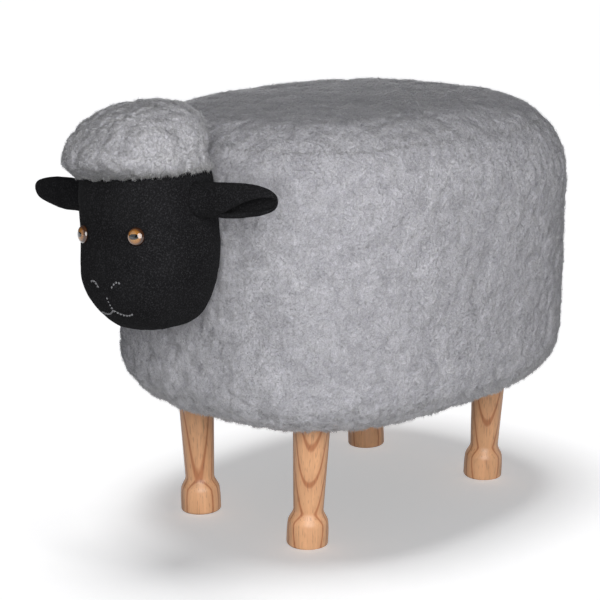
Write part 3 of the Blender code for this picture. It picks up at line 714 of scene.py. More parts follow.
def head_level(share, inset=0.0):
    """Half width, front reach, back reach and height of the head at shares of its height."""
    half_width, half_depth, half_height = (
        size / 2 - inset for size in (HEAD_WIDTH, HEAD_DEPTH, HEAD_HEIGHT)
    )
    closing = bulge(share, np.where(share > 0, HEAD_BROW_ROUNDNESS, HEAD_ROUNDNESS))
    below = np.clip(-share, 0, 1)
    narrowing = 1 - MUZZLE_NARROWING_SHARE * below * below * (3 - 2 * below)
    muzzle = np.exp(-(((share - MUZZLE_LEVEL_SHARE) / MUZZLE_SPREAD_SHARE) ** 2))
    front = half_depth * closing * (1 + MUZZLE_REACH_SHARE * muzzle)
    return half_width * closing * narrowing, front, half_depth * closing, half_height * share


def head_ring(level, columns):
    """Places across, along and up the head round its levels."""
    half_width, front, back, z = level
    turned = round_turn(columns)
    along = squared(np.sin(turned), HEAD_SQUARENESS)
    return half_width * squared(np.cos(turned), HEAD_SQUARENESS), along * np.where(along > 0, back, front), z


def head_rows(inset, levels, columns):
    """Rings of the head from its chin to its crown."""
    angle = np.linspace(0, math.pi, levels + 2)[1:-1, None]
    share = -squared(np.cos(angle), HEAD_ROUNDNESS)
    return stacked(*head_ring(head_level(share, inset), columns))


def head_side_at(y, z):
    """Half the head's width at depths and heights."""
    half_width, front, back, _ = head_level(np.clip(2 * z / HEAD_HEIGHT, -LAST_SHARE, LAST_SHARE))
    return half_width * bulge(y / np.where(y > 0, back, front), HEAD_SQUARENESS)


def face_point(x, z):
    """A point on the front of the head, from its place across and its height."""
    half_width, front, _, _ = head_level(np.float64(2 * z / HEAD_HEIGHT))
    return Vector((x, -front * bulge(x / half_width, HEAD_SQUARENESS), z))


def face_normal(x, z):
    """The direction that the face looks in at a point."""
    step = EYE_DIAMETER / 2
    across = face_point(x + step, z) - face_point(x - step, z)
    up = face_point(x, z + step) - face_point(x, z - step)
    return across.cross(up).normalized()


def behind_body_front(points, gap):
    """Points drawn back to a gap before the front of the body, where they would reach into it."""
    wall = body_front_at(points[..., 0], points[..., 2]) - gap
    points[..., 1] = np.minimum(points[..., 1], wall)
    return points


def under_head(points):
    """From 0, free, to 1, pressed flat by the back of the head or the cap."""
    local = moved(points.reshape(-1, 3), HEAD_PLACE.inverted())
    share = 2 * local[:, 2] / HEAD_HEIGHT
    half_width, _, back, _ = head_level(np.clip(share, -LAST_SHARE, LAST_SHARE))
    depth = back * bulge(local[:, 0] / half_width, HEAD_SQUARENESS) - local[:, 1]
    pressed = np.clip((depth + PRESS_FADE) / PRESS_FADE, 0, 1)
    pressed[(np.abs(share) > LAST_SHARE) | (local[:, 1] > HEAD_DEPTH)] = 0
    return pressed.reshape(points.shape[:-1])


# Pile of the fleece

def crests(points, seed):
    """From 0 in the creases of the pile to 1 on its tufts and curls."""
    bend = [lumps(points, TUFT, seed + i) for i in (3, 4, 5)]
    bent = points + TUFT_BEND_SHARE * TUFT * np.stack(bend, axis=-1)
    tufts = TUFT_HEIGHT * knobs(bent, TUFT, seed + 1)
    curls = CURL_HEIGHT * knobs(bent, CURL, seed + 2)
    return (tufts + curls) / (TUFT_HEIGHT + CURL_HEIGHT)


def pile_height(points, seed):
    """How far the fleece stands from its cover: soft lumps with tufts and curls on them."""
    tufts = (TUFT_HEIGHT + CURL_HEIGHT) * crests(points, seed)
    return LUMP_HEIGHT * lumps(points, LUMP, seed) + tufts - PILE_SET_IN


def paint_pile_light(mesh, share, first=0):
    """Store the painted light of the pile on a mesh's points: high on crests and painted glints, low in
    creases.
    """
    shade = mesh.attributes.new("pile_painted_light", "FLOAT", "POINT")
    values = np.full(len(mesh.vertices), HIDDEN_SHADE_SHARE)
    values[first:first + share.size] = share.ravel()
    shade.data.foreach_set("value", values.astype(np.float32))


def picked(points, normals, count, draw):
    """Places spread over a skin of closed rings by area, with their normals."""
    beside = np.roll(points, -1, axis=1)
    area = np.linalg.norm(np.cross(beside[:-1] - points[:-1], points[1:] - points[:-1]), axis=-1).ravel()
    run = np.cumsum(area)
    at = (np.arange(count) + draw.uniform(size=count)) * run[-1] / count
    cell = np.minimum(np.searchsorted(run, at), len(area) - 1)
    row, column = np.divmod(cell, points.shape[1])
    u, v = draw.uniform(size=(2, count, 1))

    def inside(rows):
        """Values inside the cells, from those at the corners."""
        beside = np.roll(rows, -1, axis=1)
        low, high = (rows[i, column] * (1 - u) + beside[i, column] * u for i in (row, row + 1))
        return low * (1 - v) + high * v

    return inside(points), unit(inside(normals))


def lock_mesh(name, place, out, draw, seed, pile, fall=0.0, size=1.0, finer=1.0):
    """Thin tapered locks that lie matted over a surface, each a closed curl."""
    count = len(place)
    side = np.cross(out, (0.0, 0.0, 1.0))
    level = np.linalg.norm(side, axis=1) < LEVEL_SHARE
    side[level] = np.cross(out[level], (0.0, 1.0, 0.0))
    side = unit(side)
    down = np.cross(side, out)
    turned = TURN * lumps(place, SWIRL, seed) + draw.normal(0, HEADING_SPREAD, count)
    heading = np.cos(turned)[:, None] * side + np.sin(turned)[:, None] * down
    if fall:
        heading = unit(heading * (1 - fall) + down * fall * np.sign(-down[:, 2:3]))
    sideways = np.cross(out, heading)
    # Painted glints: some locks, more in gathered clumps, are made longer and painted near the palest tone.
    gathered = np.clip(1 + GATHERING * lumps(place, TUFT, pile + 9), 0, 3)
    glossy = draw.uniform(size=count) < PAINTED_GLINT_SHARE * gathered
    length = size * draw.uniform(*LOCK_LENGTHS, count) * np.where(glossy, PAINTED_GLINT_LONGER_SHARE, 1)
    hook = length * draw.uniform(-HOOK_SHARE, HOOK_SHARE, count)
    lift = LOCK_LIFT * draw.uniform(*LIFT_SHARES, count)
    lift += STRAY_LIFT * draw.uniform(size=count) ** STRAY_RARITY
    radius = size * LOCK_RADIUS * draw.uniform(*RADIUS_SHARES, count)
    rings = []
    for at, thickness in STATION_SHARES:
        rise = lift * math.sin(math.pi * (ARCH_SHARES[0] + ARCH_SHARES[1] * at)) - LOCK_ROOT * (1 - at) ** 2
        ahead = heading * (length * (at - BEHIND_SHARE))[:, None]
        middle = place + ahead + sideways * (hook * at * at)[:, None] + out * rise[:, None]
        for corner in range(LOCK_SIDES if thickness else 1):
            angle = TURN * corner / LOCK_SIDES + QUARTER
            spoke = np.cos(angle) * sideways + np.sin(angle) * out
            rings.append(middle + spoke * (radius * thickness)[:, None])
    triangles = [(0, 1, 2)]
    quads = []
    for i in range(LOCK_SIDES):
        j = (i + 1) % LOCK_SIDES
        quads.append((i, LOCK_SIDES + i, LOCK_SIDES + j, j))
        triangles.append((LOCK_SIDES + i, 2 * LOCK_SIDES, LOCK_SIDES + j))
    base = len(rings) * np.arange(count)[:, None, None]
    points = np.stack(rings, axis=1).reshape(-1, 3)
    mesh = mesh_from(name, points, np.array(quads) + base, np.array(triangles) + base)
    # Painted light on the other locks: paler on the crests and darker in the creases, with random tone added;
    # the glinting locks take painted glint tones.
    tone = UNGLINTED_TONE_SHARE * crests(finer * place, pile) + draw.normal(0, TONE_SPREAD, count)
    tone = np.clip(tone, 0, UNGLINTED_TONE_CAP)
    tone = np.where(glossy, draw.uniform(*PAINTED_GLINT_TONE_SHARES, count), tone)
    paint_pile_light(mesh, np.repeat(tone, len(rings)))
    return mesh


def make_side_cover():
    """Fleece round the flanks, from the seat seam down to the hem under the base board."""
    lower = lower_edge(0, arc(lower_angle(0, HEM_REACH), QUARTER))
    outer, run = resampled(np.concatenate((lower, upper_edge(0, arc(0, SEAM_ANGLE)))), SKIN_STEP)
    outer, run = (
        np.insert(row, -1, SEAM_ROW_SHARE * row[-2] + (1 - SEAM_ROW_SHARE) * row[-1], axis=0)
        for row in (outer, run)
    )
    rows = body_rows(outer, SKIN_COLUMNS)
    normals = normals_of(rows)
    fade = np.clip(run / HEM_FADE, 0, 1)[:, None]
    pressed = under_head(rows)
    height = pile_height(rows, FLEECE_SEED) * fade * (1 - pressed) - PRESS_DEPTH * pressed
    skin = rows + normals * height[..., None]
    inner = np.concatenate(
        (
            upper_edge(FLEECE_DEPTH, np.linspace(SEAM_ANGLE, 0, LINING_STEPS)),
            lower_edge(FLEECE_DEPTH, np.linspace(QUARTER, HEM_ANGLE, LINING_STEPS)),
            [(HEM_REACH, BASE - SOFT_GAP, 1)],
        )
    )
    mesh = rows_mesh("fleece_side_skin", np.concatenate((skin, body_rows(inner, SKIN_COLUMNS))), wrap=True)
    # Painted light on the skin: paler on its crests, painted shade in its creases.
    paint_pile_light(mesh, SKIN_SHADE_SHARE * crests(rows, FLEECE_SEED))
    return mesh, skin, normals


def make_seat_cover():
    """Crowned fleece panel of the seat, seamed to the side cover."""
    edge, run = resampled(upper_edge(0, arc(SEAM_ANGLE + SEAM_TOUCH, QUARTER)), SKIN_STEP)
    edge, run = (
        np.insert(row, 1, (1 - SEAM_ROW_SHARE) * row[0] + SEAM_ROW_SHARE * row[1], axis=0)
        for row in (edge, run)
    )
    middle = crown(0, SKIN_STEP)
    run = np.concatenate((run, run[-1] + SKIN_STEP * np.arange(1, len(middle) + 1)))
    rows = body_rows(np.concatenate((edge, middle)), SKIN_COLUMNS)
    normals = normals_of(rows)
    normals[len(edge):] = (0, 0, 1)
    worn = 1 - SEAT_FLATTENED_SHARE * np.clip(run / TOP_ROUND, 0, 1)[:, None]
    height = (pile_height(rows, FLEECE_SEED) + PILE_SET_IN / 2) * worn - PILE_SET_IN / 2
    skin = rows + normals * height[..., None]
    seam_start = SEAM_ANGLE + SOFT_GAP / (TOP_ROUND - FLEECE_DEPTH)
    inner_edge = upper_edge(FLEECE_DEPTH, np.linspace(QUARTER, seam_start, LINING_STEPS))
    inner = np.concatenate((crown(FLEECE_DEPTH, FOAM_STEP)[::-1], inner_edge))
    mesh = rows_mesh("fleece_top_skin", np.concatenate((body_rows(inner, SKIN_COLUMNS), skin)))
    # Painted light on the skin: paler on its crests, painted shade in its creases.
    paint_pile_light(mesh, SKIN_SHADE_SHARE * crests(rows, FLEECE_SEED), len(inner) * SKIN_COLUMNS)
    return mesh, skin, normals


def pile_places(skin, normals, count, seam, draw):
    """Places of locks over a cover, with more of them beside its seam."""
    everywhere = picked(skin, normals, count, draw)
    beside_seam = picked(skin[seam], normals[seam], SEAM_LOCKS, draw)
    return [np.concatenate(both) for both in zip(everywhere, beside_seam)]


def grow_pile(name, place, out, part, count, draw):
    """The locks of a cover, in numbered parts."""
    pieces = []
    for i in range(count):
        here = part.astype(int) == i
        numbered = f"{name}_{i + 1}"
        mesh = lock_mesh(numbered, place[here], out[here], draw, LOCK_SEED, FLEECE_SEED)
        pieces.append(add_piece(numbered, mesh, PILE))
    return pieces


def covered(place):
    """Whether places lie where the pile is free of the head and above the hem."""
    return (under_head(place) < BARE_SHARE) & (place[:, 2] > BODY_BOTTOM - HEM_MARGIN)


def make_hanging_tufts(skin, normals, draw):
    """Tufts of locks that hang from the low edge of the fleece."""
    name = "fleece_hanging_tufts"
    place, out = picked(skin, normals, HANGING_DRAWN, draw)
    gathered = lumps(place, CURL, GATHER_SEED)
    keep = (gathered > np.quantile(gathered, 1 - HANGING_SHARE)) & covered(place)
    keep &= (out[:, 2] > HANGING_FACES[0]) & (out[:, 2] < HANGING_FACES[1])
    facing = unit(out[keep] * (1, 1, 0))
    mesh = lock_mesh(
        name, place[keep], facing, draw, HANGING_SEED, FLEECE_SEED, fall=HANGING_FALL, size=HANGING_SIZE
    )
    return add_piece(name, mesh, PILE)


FLEECE = fleece_finish("fleece_backing", (0.366, 0.363, 0.386), (0.444, 0.440, 0.464))
PILE = fleece_finish("fleece_pile", (0.378, 0.375, 0.398), (0.462, 0.458, 0.482))
draw = np.random.default_rng(SIDE_AND_TOP_SEED)

mesh, skin, normals = make_side_cover()
side = add_piece("fleece_side_skin", mesh, FLEECE, replaced=("fleece_side",))
place, out = pile_places(skin, normals, SIDE_LOCKS, slice(-3, None), draw)
keep = covered(place)
place, out = place[keep], out[keep]
sector = np.arctan2(place[:, 1] - BODY_Y, place[:, 0]) / TURN % 1 * SIDE_SECTORS
side_piles = grow_pile("fleece_side_pile", place, out, sector, SIDE_SECTORS, draw)
side_piles.append(make_hanging_tufts(skin, normals, draw))

mesh, skin, normals = make_seat_cover()
top = add_piece("fleece_top_skin", mesh, FLEECE, replaced=("fleece_top",))
place, out = pile_places(skin, normals, TOP_LOCKS, slice(3), draw)
strip = np.clip((place[:, 1] - BODY_Y) / BODY_LENGTH + 0.5, 0, LAST_SHARE) * TOP_STRIPS
top_piles = grow_pile("fleece_top_pile", place, out, strip, TOP_STRIPS, draw)


# Foam, filling and dust cover

def foam_finish():
    """Yellow cut foam with open cells."""
    made = Nodes("foam", Roughness=0.95, Specular_IOR_Level=0.1)
    tone = made.ramp(made.noise(40, 4.0, 0.6), ((0.3, (0.70, 0.60, 0.36)), (0.7, (0.80, 0.72, 0.48))))
    cells = made.cells(900.0)
    return made.finish(made.tint(tone, cells, ((0.0, 0.55), (0.5, 1.0)), share=0.6), cells, 0.6, 0.0008)


def filling_finish():
    """White polyester fibre."""
    made = Nodes("fibre_filling", Roughness=0.95, Sheen_Weight=0.3)
    clouds = made.noise(120, 5.0, 0.7, distortion=1.5)
    tone = made.ramp(clouds, ((0.3, (0.66, 0.66, 0.64)), (0.7, (0.86, 0.86, 0.84))))
    return made.finish(tone, made.noise(300, 4.0, 0.7, distortion=2.0), 0.8, 0.002)


def dust_finish():
    """Black spunbond cloth with its dimpled weave."""
    made = Nodes("dust_cloth", Roughness=0.9)
    dots = made.cells(700.0, "CHEBYCHEV")
    return made.finish(
        made.ramp(dots, ((0.1, (0.010, 0.010, 0.011)), (0.5, (0.035, 0.035, 0.037)))), dots, 0.5, 0.0004
    )


def make_foam():
    """The foam band round the side and the crowned seat pad."""
    finish = foam_finish()
    low_angle, high_angle = lower_angle(FOAM_INSET, FOAM_INNER), upper_angle(FOAM_INSET, SEAT_BOARD_TOP)
    profile = np.concatenate(
        (
            lower_edge(FOAM_INSET, np.linspace(low_angle, QUARTER, FOAM_EDGE_STEPS)),
            upper_edge(FOAM_INSET, np.linspace(0, high_angle, FOAM_EDGE_STEPS)),
            stacked(FOAM_INNER, np.linspace(SEAT_BOARD_TOP, BASE, FOAM_WALL_STEPS)[:-1], 1.0),
        )
    )
    mesh = rows_mesh("side_foam_band", body_rows(profile, FOAM_COLUMNS), wrap=True)
    band = add_piece("side_foam_band", mesh, finish, replaced=("side_foam",))
    floor = SEAT_BOARD_TOP + SOFT_GAP
    low_angle = upper_angle(FOAM_INSET, floor)
    edge = upper_edge(FOAM_INSET, np.linspace(low_angle, QUARTER, FOAM_WALL_STEPS))
    edge[0, 1] = floor
    under = stacked(edge[0, 0], floor, np.linspace(0, 1, FOAM_UNDER_STEPS)[1:-1])
    profile = np.concatenate((under, edge, crown(FOAM_INSET, FOAM_STEP)))
    mesh = rows_mesh("seat_foam_pad", body_rows(profile, FOAM_COLUMNS))
    pad = add_piece("seat_foam_pad", mesh, finish, replaced=("seat_foam",))


def make_dust_cover():
    """Dust cloth tacked over the base board inside the hem, slack between its staples."""
    share = np.linspace(0, 1, CLOTH_STEPS)[1:]
    lower = stacked(HEM_REACH + SOFT_GAP, BASE - FIT_GAP - DUST_COVER, share)
    upper = lower[::-1] + (0, DUST_COVER, 0)
    rows = body_rows(np.concatenate((lower, upper)), CLOTH_COLUMNS)
    sag = np.abs(relief(rows[..., [0, 0, 1]], CLOTH_SAG))
    edge = np.concatenate((share, share[::-1]))[:, None]
    rows[..., 2] -= sag * np.clip((1 - edge) / CLOTH_TAUT_SHARE, 0, 1)
    mesh = rows_mesh("dust_cloth", rows)
    cloth = add_piece("dust_cloth", mesh, dust_finish(), replaced=("dust_cover",))


make_foam()
make_dust_cover()


# Legs

RING_SHARES = (0.66, -0.75, 0.06)
RING_WANDER = 0.016
LEG_RING = 0.0058
POST_RING = 0.0050


def wood_finish(name, pale, dark, rings, streaks, roughness, coat=0.0):
    """Wood along Z: growth rings a step apart that the turned surface cuts, fine streaks and pores."""
    made = Nodes(name, Roughness=roughness, Coat_Weight=coat, Coat_Roughness=0.25, Specular_IOR_Level=0.4)
    place = made.axes(made.where())
    reach = made.math("MULTIPLY", made.noise(11, 3.0, 0.45, stretch=(1, 1, 0.35)), RING_WANDER)
    for axis, share in zip("XYZ", RING_SHARES):
        reach = made.math("ADD", reach, made.math("MULTIPLY", place[axis], share))
    wave = made.math("SINE", made.math("MULTIPLY", reach, TURN / rings))
    wave = made.math("MULTIPLY", made.math("ADD", wave, 1.0), 0.5)
    between = tuple(0.84 * a + 0.16 * b for a, b in zip(pale, dark))
    grain = made.ramp(wave, ((0.0, pale), (0.86, between), (0.985, dark)))
    fine = made.noise(streaks, 4.0, 0.65, stretch=(1, 1, 0.035))
    grain = made.tint(grain, fine, ((0.32, 0.84), (0.68, 1.13)), share=0.75)
    pores = made.noise(streaks * 3.2, 1.0, 0.5, stretch=(1, 1, 0.12))
    grain = made.tint(grain, pores, ((0.31, 0.70), (0.42, 1.0)), share=0.8)
    clouds = made.noise(28, 2.0, 0.5, stretch=(1, 1, 0.4))
    grain = made.tint(grain, clouds, ((0.3, 0.90), (0.7, 1.08)), share=0.6)
    return made.finish(grain, fine, 0.12, 0.0003)


def cut_by(mesh, tools):
    """The mesh after each tool has cut it or been intersected with it."""
    piece = put(mesh.name, mesh)
    for tool, operation in tools:
        step = piece.modifiers.new(tool.name, "BOOLEAN")
        step.operation = operation
        step.object = tool
    bpy.context.view_layer.update()
    done = bpy.data.meshes.new_from_object(piece.evaluated_get(bpy.context.evaluated_depsgraph_get()))
    bpy.data.objects.remove(piece)
    return creased(done)


def add_box(bm, size, place):
    """A box about its own middle, moved to its place."""
    corners = bmesh.ops.create_cube(bm, size=1)["verts"]
    bmesh.ops.scale(bm, vec=size, verts=corners)
    bmesh.ops.transform(bm, matrix=place, verts=corners)


def rounded_step(share):
    """From 0 to 1 with a soft start and end."""
    return (1 - math.cos(math.pi * share)) / 2


def leg_profile():
    """Turned outline of a leg, from its foot up."""
    foot, shoulder, ankle, top = (
        size / 2 for size in (FOOT_DIAMETER, SHOULDER_DIAMETER, ANKLE_DIAMETER, LEG_TOP_DIAMETER)
    )
    drop = foot * math.tan(LEG_LEAN)
    rim = [(foot - FOOT_EDGE - FOOT_RELIEF, -drop)]
    for angle in np.linspace(QUARTER, 0, FOOT_STEPS):
        rim.append((foot - FOOT_EDGE * (1 - math.cos(angle)), FOOT_EDGE * (1 - math.sin(angle)) - drop))
    rim.append((foot, FOOT_WIDEST))
    for start, end, low, high, steps, bend in (
        (foot, shoulder, FOOT_WIDEST, SHOULDER_HEIGHT, SHOULDER_STEPS, lambda share: share * share),
        (shoulder, ankle, SHOULDER_HEIGHT, ANKLE_HEIGHT, ANKLE_STEPS, rounded_step),
        (ankle, top, ANKLE_HEIGHT, BASE + OVERRUN, SHAFT_STEPS, lambda share: share),
    ):
        for share in np.linspace(0, 1, steps)[1:]:
            rim.append((start + (end - start) * bend(share), low + (high - low) * share))
    return rim


def make_legs():
    """Leaning turned legs with the bore of the hanger bolt."""
    seat = BASE - DUST_COVER - 2 * FIT_GAP
    bm = bmesh.new()
    add_box(bm, (BODY_WIDTH, BODY_LENGTH, seat), Matrix())
    slab = put("leg_slab", worked_mesh("leg_slab", bm), Matrix.Translation((0, BODY_Y, seat / 2)))
    radius = BOLT_DIAMETER / 2 + FIT_GAP
    ends = (seat - BOLT_IN_LEG - FIT_GAP, BASE + OVERRUN)
    bore_mesh = lathe("leg_bore", [(radius, z) for z in ends], BORE_SIDES)
    pale, dark = (0.690, 0.374, 0.196), (0.440, 0.180, 0.080)
    finish = wood_finish("rubberwood", pale, dark, LEG_RING, 260.0, roughness=0.42, coat=0.15)
    for end, along, edge in (("front", -1, FRONT_LEG_EDGE), ("hind", 1, HIND_LEG_EDGE)):
        for hand, across in LEFT_AND_RIGHT:
            name = f"leg_{end}_{hand}"
            x = across * (BODY_WIDTH / 2 - edge)
            y = BODY_Y + along * (BODY_LENGTH / 2 - LEG_END_EDGE)
            lean = across * LEG_LEAN
            blank = lathe(name, leg_profile(), LEG_SIDES)
            foot = Matrix.Translation((x - seat * math.tan(lean), y, 0))
            blank.transform(foot @ Matrix.Rotation(lean, 4, "Y"))
            bore = put("bore_" + name, bore_mesh, Matrix.Translation((x, y, 0)))
            mesh = cut_by(blank, ((slab, "INTERSECT"), (bore, "DIFFERENCE")))
            bpy.data.objects.remove(bore)
            add_piece(name + "_turned", mesh, finish, replaced=(name,))
    bpy.data.objects.remove(slab)


make_legs()


# Head

def felt_finish():
    """Black felt with short pale fibres and soft worn patches."""
    made = Nodes(
        "black_felt", Roughness=0.95, Sheen_Weight=0.01, Sheen_Roughness=0.6, Specular_IOR_Level=0.04
    )
    worn = made.noise(32, 3.0, 0.6)
    base = made.ramp(worn, ((0.32, (0.0062, 0.0062, 0.0068)), (0.70, (0.0098, 0.0098, 0.0106))))
    fibres = made.noise(820, 2.0, 0.75, distortion=0.6)
    base = made.mix(made.ramp(fibres, ((0.50, 0.0), (0.72, 0.34))), base, (0.082, 0.082, 0.088, 1))
    return made.finish(base, fibres, 0.55, 0.0005)


FELT_BLACK = felt_finish()


def make_head_cover():
    """Felt head: two side panels sewn to a face panel, softly uneven, pressed flat against the body."""
    rows = head_rows(0, HEAD_LEVELS, HEAD_COLUMNS)
    height = relief(rows, FELT_RELIEF)
    turned = round_turn(HEAD_COLUMNS) / TURN
    for seam in (FACE_SHARE - FACE_SEAM_SHARE, FACE_SHARE + FACE_SEAM_SHARE):
        off = (turned - seam) * HEAD_GIRTH
        pucker = 0.5 + relief(stacked(rows[..., 2] * PUCKERS_CLOSER, off, 0), PUCKER_RELIEF)
        height = height - SEAM_DEPTH * np.exp(-((off / SEAM_WIDTH) ** 2))
        beside = np.exp(-(((np.abs(off) - PUCKER_REACH) / PUCKER_WIDTH) ** 2))
        height = height + PUCKER_HEIGHT * pucker * beside
    outer = moved(rows + normals_of(rows) * height[..., None], HEAD_PLACE)
    shell = rows_mesh("felt_head", behind_body_front(outer, SOFT_GAP))
    inner = moved(head_rows(FELT, HEAD_LINING_LEVELS, HEAD_COLUMNS)[::-1], HEAD_PLACE)
    bm = bmesh.new()
    bm.from_mesh(shell)
    bm.from_mesh(rows_mesh("felt_head_lining", behind_body_front(inner, SOFT_GAP + FELT)))
    bm.to_mesh(shell)
    bm.free()
    shell.shade_smooth()
    cover = add_piece("felt_head", shell, FELT_BLACK, replaced=("head_cover",))

    rows = head_rows(FELT + SOFT_GAP, FILLING_LEVELS, FILLING_COLUMNS)
    inside = rows - normals_of(rows) * np.abs(relief(rows, FILLING_RELIEF))[..., None]
    flat = HEAD_FORWARD - 2 * SOFT_GAP - HEAD_BOARD
    inside[..., 1] = np.minimum(inside[..., 1], flat)
    mesh = rows_mesh("fibre_filling", inside)
    filling = add_piece("fibre_filling", mesh, filling_finish(), HEAD_PLACE, ("head_filling",))


def ear_radius(share):
    """The leaf of the ear, from its pinched root to its round tip."""
    swell = np.sin(QUARTER * np.clip(share / EAR_FULLEST_SHARE, 0, 1))
    root = EAR_ROOT_RADIUS_SHARE + (1 - EAR_ROOT_RADIUS_SHARE) * swell
    run = np.clip((share - EAR_FULLEST_SHARE) / (1 - EAR_FULLEST_SHARE), 0, 1)
    tip = EAR_TIP_SHARE + (1 - EAR_TIP_SHARE) * np.sqrt(np.clip(1 - run ** EAR_TIP_ROUNDNESS, 0, 1))
    return EAR_RADIUS * np.where(share < EAR_FULLEST_SHARE, root, tip)


def make_ears():
    """Felt leaves folded along their length, sewn into the sides of the head."""
    share = np.sin(QUARTER * np.linspace(0, 1, EAR_STATIONS))
    radius = ear_radius(share)[:, None]
    depth = radius * EAR_FLATNESS_SHARE
    thickness = np.minimum(EAR_THICKNESS, depth / 2)
    spread = np.clip((share - EAR_SEWN_SHARE) / (1 - EAR_SEWN_SHARE), 0, 1)
    lip = np.linspace(0, math.pi, RIM_STEPS + 1)[None, 1:-1]
    for hand, across in LEFT_AND_RIGHT:
        seam, high, low = EAR_FOLDS[hand]
        upper = seam - EAR_SLIT / 2 + (high - seam + EAR_SLIT / 2) * spread
        lower = seam + EAR_SLIT / 2 + (low - seam - EAR_SLIT / 2) * spread
        turned = np.linspace(lower - TURN, upper, EAR_STEPS, axis=1)
        rims = []
        for end, sense in ((-1, 1), (0, -1)):
            angle = turned[:, end, None]
            beyond = sense * np.sin(lip) * thickness / 2
            inward = (1 - np.cos(lip) * sense) * thickness / 2
            y = (depth - inward) * np.cos(angle) - beyond * np.sin(angle)
            rims.append((y, (radius - inward) * np.sin(angle) + beyond * np.cos(angle)))
        outer = (depth * np.cos(turned), radius * np.sin(turned))
        inner = ((depth - thickness) * np.cos(turned), (radius - thickness) * np.sin(turned))
        y, z = (
            np.concatenate((outer[i], rims[0][i], inner[i][:, ::-1], rims[1][i]), axis=1) for i in (0, 1)
        )
        x = (EAR_ROOT + (EAR_REACH - EAR_ROOT) * share)[:, None]
        rise = (RIGHT_EAR_LIFT if hand == "right" else 0) * share * share
        rows = stacked(x, y + EAR_BACK, z + EAR_LEVEL + rise[:, None])
        wave = relief(rows, EAR_RELIEF[hand])
        rows[..., 2] += wave
        rows[..., 1] += EAR_WAVE_BACK_SHARE * wave
        skull = head_side_at(rows[..., 1], rows[..., 2]) + SOFT_GAP / 2
        near = np.exp(-(np.clip((rows[..., 0] - skull) / EAR_FILLET_RUN, 0, None) ** EAR_FILLET_FALL))
        near[:, EAR_STEPS:] = 0
        rows[..., 1] += near * EAR_FILLET * y / depth
        rows[..., 2] += near * EAR_FILLET * EAR_FILLET_UP_SHARE * z / radius
        skull = head_side_at(rows[..., 1], rows[..., 2]) + SOFT_GAP / 2
        rows[..., 0] = across * np.maximum(rows[..., 0], skull)
        name = "felt_ear_" + hand
        mesh = rows_mesh(name, rows[:, ::across], zipped=True)
        ear = add_piece(name, mesh, FELT_BLACK, HEAD_PLACE, ("ear_" + hand,))


def cap_rows(rise, columns):
    """Rings of the cap: it hugs the brow at its lower edge and leans back as it rises."""
    rise = np.asarray(rise)[:, None]
    sunk = np.clip(-rise / CAP_FALL, 0, 1) ** CAP_HUG_BEND
    risen = np.clip(rise / CAP_RISE, 0, 1)
    closing = bulge(risen, CAP_DOME)
    turned = round_turn(columns)
    x = CAP_WIDTH / 2 * closing * squared(np.cos(turned), CAP_SQUARENESS)
    y = CAP_DEPTH / 2 * closing * squared(np.sin(turned), CAP_SQUARENESS) + CAP_LEAN * risen - CAP_FORWARD
    brow = head_level(np.float64(2 * (CAP_LEVEL - CAP_FALL) / HEAD_HEIGHT), -CAP_HUG)
    brow_x, brow_y, _ = head_ring(brow, columns)
    return stacked(x + (brow_x - x) * sunk, y + (brow_y - y) * sunk, CAP_LEVEL + rise)


# The cap's finishes are the fleece's made about 13% paler: painted light on the cap.
CAP_FLEECE = fleece_finish("cap_backing", (0.414, 0.410, 0.434), (0.496, 0.491, 0.513))
CAP_PILE = fleece_finish("cap_pile", (0.426, 0.423, 0.447), (0.516, 0.512, 0.535))


def make_cap():
    """Woolly cap over the brow: a lined dome with its own pile and a fringe over the felt."""
    falls = np.linspace(1, 0, CAP_FALL_STEPS)[:-1]
    rises = np.sin(QUARTER * np.linspace(0, 1, CAP_RISE_STEPS))[:-1]
    rows = cap_rows(np.concatenate((-CAP_FALL * falls, CAP_RISE * rises)), CAP_COLUMNS)
    normals = normals_of(rows)
    fade = np.clip(np.arange(len(rows)) / CAP_FADE_ROWS, 0, 1)[:, None]
    height = CAP_FULLER_SHARE * (pile_height(CAP_FINER_SHARE * rows, CAP_SEED) + PILE_SET_IN)
    height = height * (CAP_HEM_SHARE + (1 - CAP_HEM_SHARE) * fade) - PILE_SET_IN * fade
    skin = rows + normals * height[..., None]
    skin[..., 2] -= CAP_EDGE_WAVE * lumps(rows, CURL, CAP_EDGE_SEED) * (1 - fade) ** 2
    z = np.linspace(CAP_LINING_SHARE * HEAD_HEIGHT / 2, CAP_LEVEL - CAP_FALL, CAP_FALL_STEPS)[:, None]
    x, y, _ = head_ring(head_level(2 * z / HEAD_HEIGHT, -2 * SOFT_GAP), CAP_COLUMNS)
    lining = stacked(x, y, z)
    mesh = rows_mesh("cap_skin", np.concatenate((lining, skin)))
    # Painted light on the cap's skin: paler on its crests, painted shade in its creases.
    shade = SKIN_SHADE_SHARE * crests(CAP_FINER_SHARE * rows, CAP_SEED)
    paint_pile_light(mesh, shade, len(lining) * CAP_COLUMNS)
    cap = add_piece("cap_skin", mesh, CAP_FLEECE, HEAD_PLACE, ("wool_cap",))
    draw = np.random.default_rng(CAP_DRAW_SEED)
    for name, part, count, fall in (
        ("cap_pile", slice(CAP_HEM_ROWS, None), CAP_LOCKS, 0.0),
        ("cap_fringe", slice(2 * CAP_HEM_ROWS), FRINGE_LOCKS, FRINGE_FALL),
    ):
        place, out = picked(skin[part], normals[part], count, draw)
        behind = moved(place, HEAD_PLACE)
        keep = behind[:, 1] < body_front_at(behind[:, 0], behind[:, 2]) - CAP_MARGIN
        mesh = lock_mesh(
            name, place[keep], out[keep], draw, CAP_LOCK_SEED, CAP_SEED, fall, 1 + fall / 2, CAP_FINER_SHARE
        )
        add_piece(name, mesh, CAP_PILE, HEAD_PLACE)


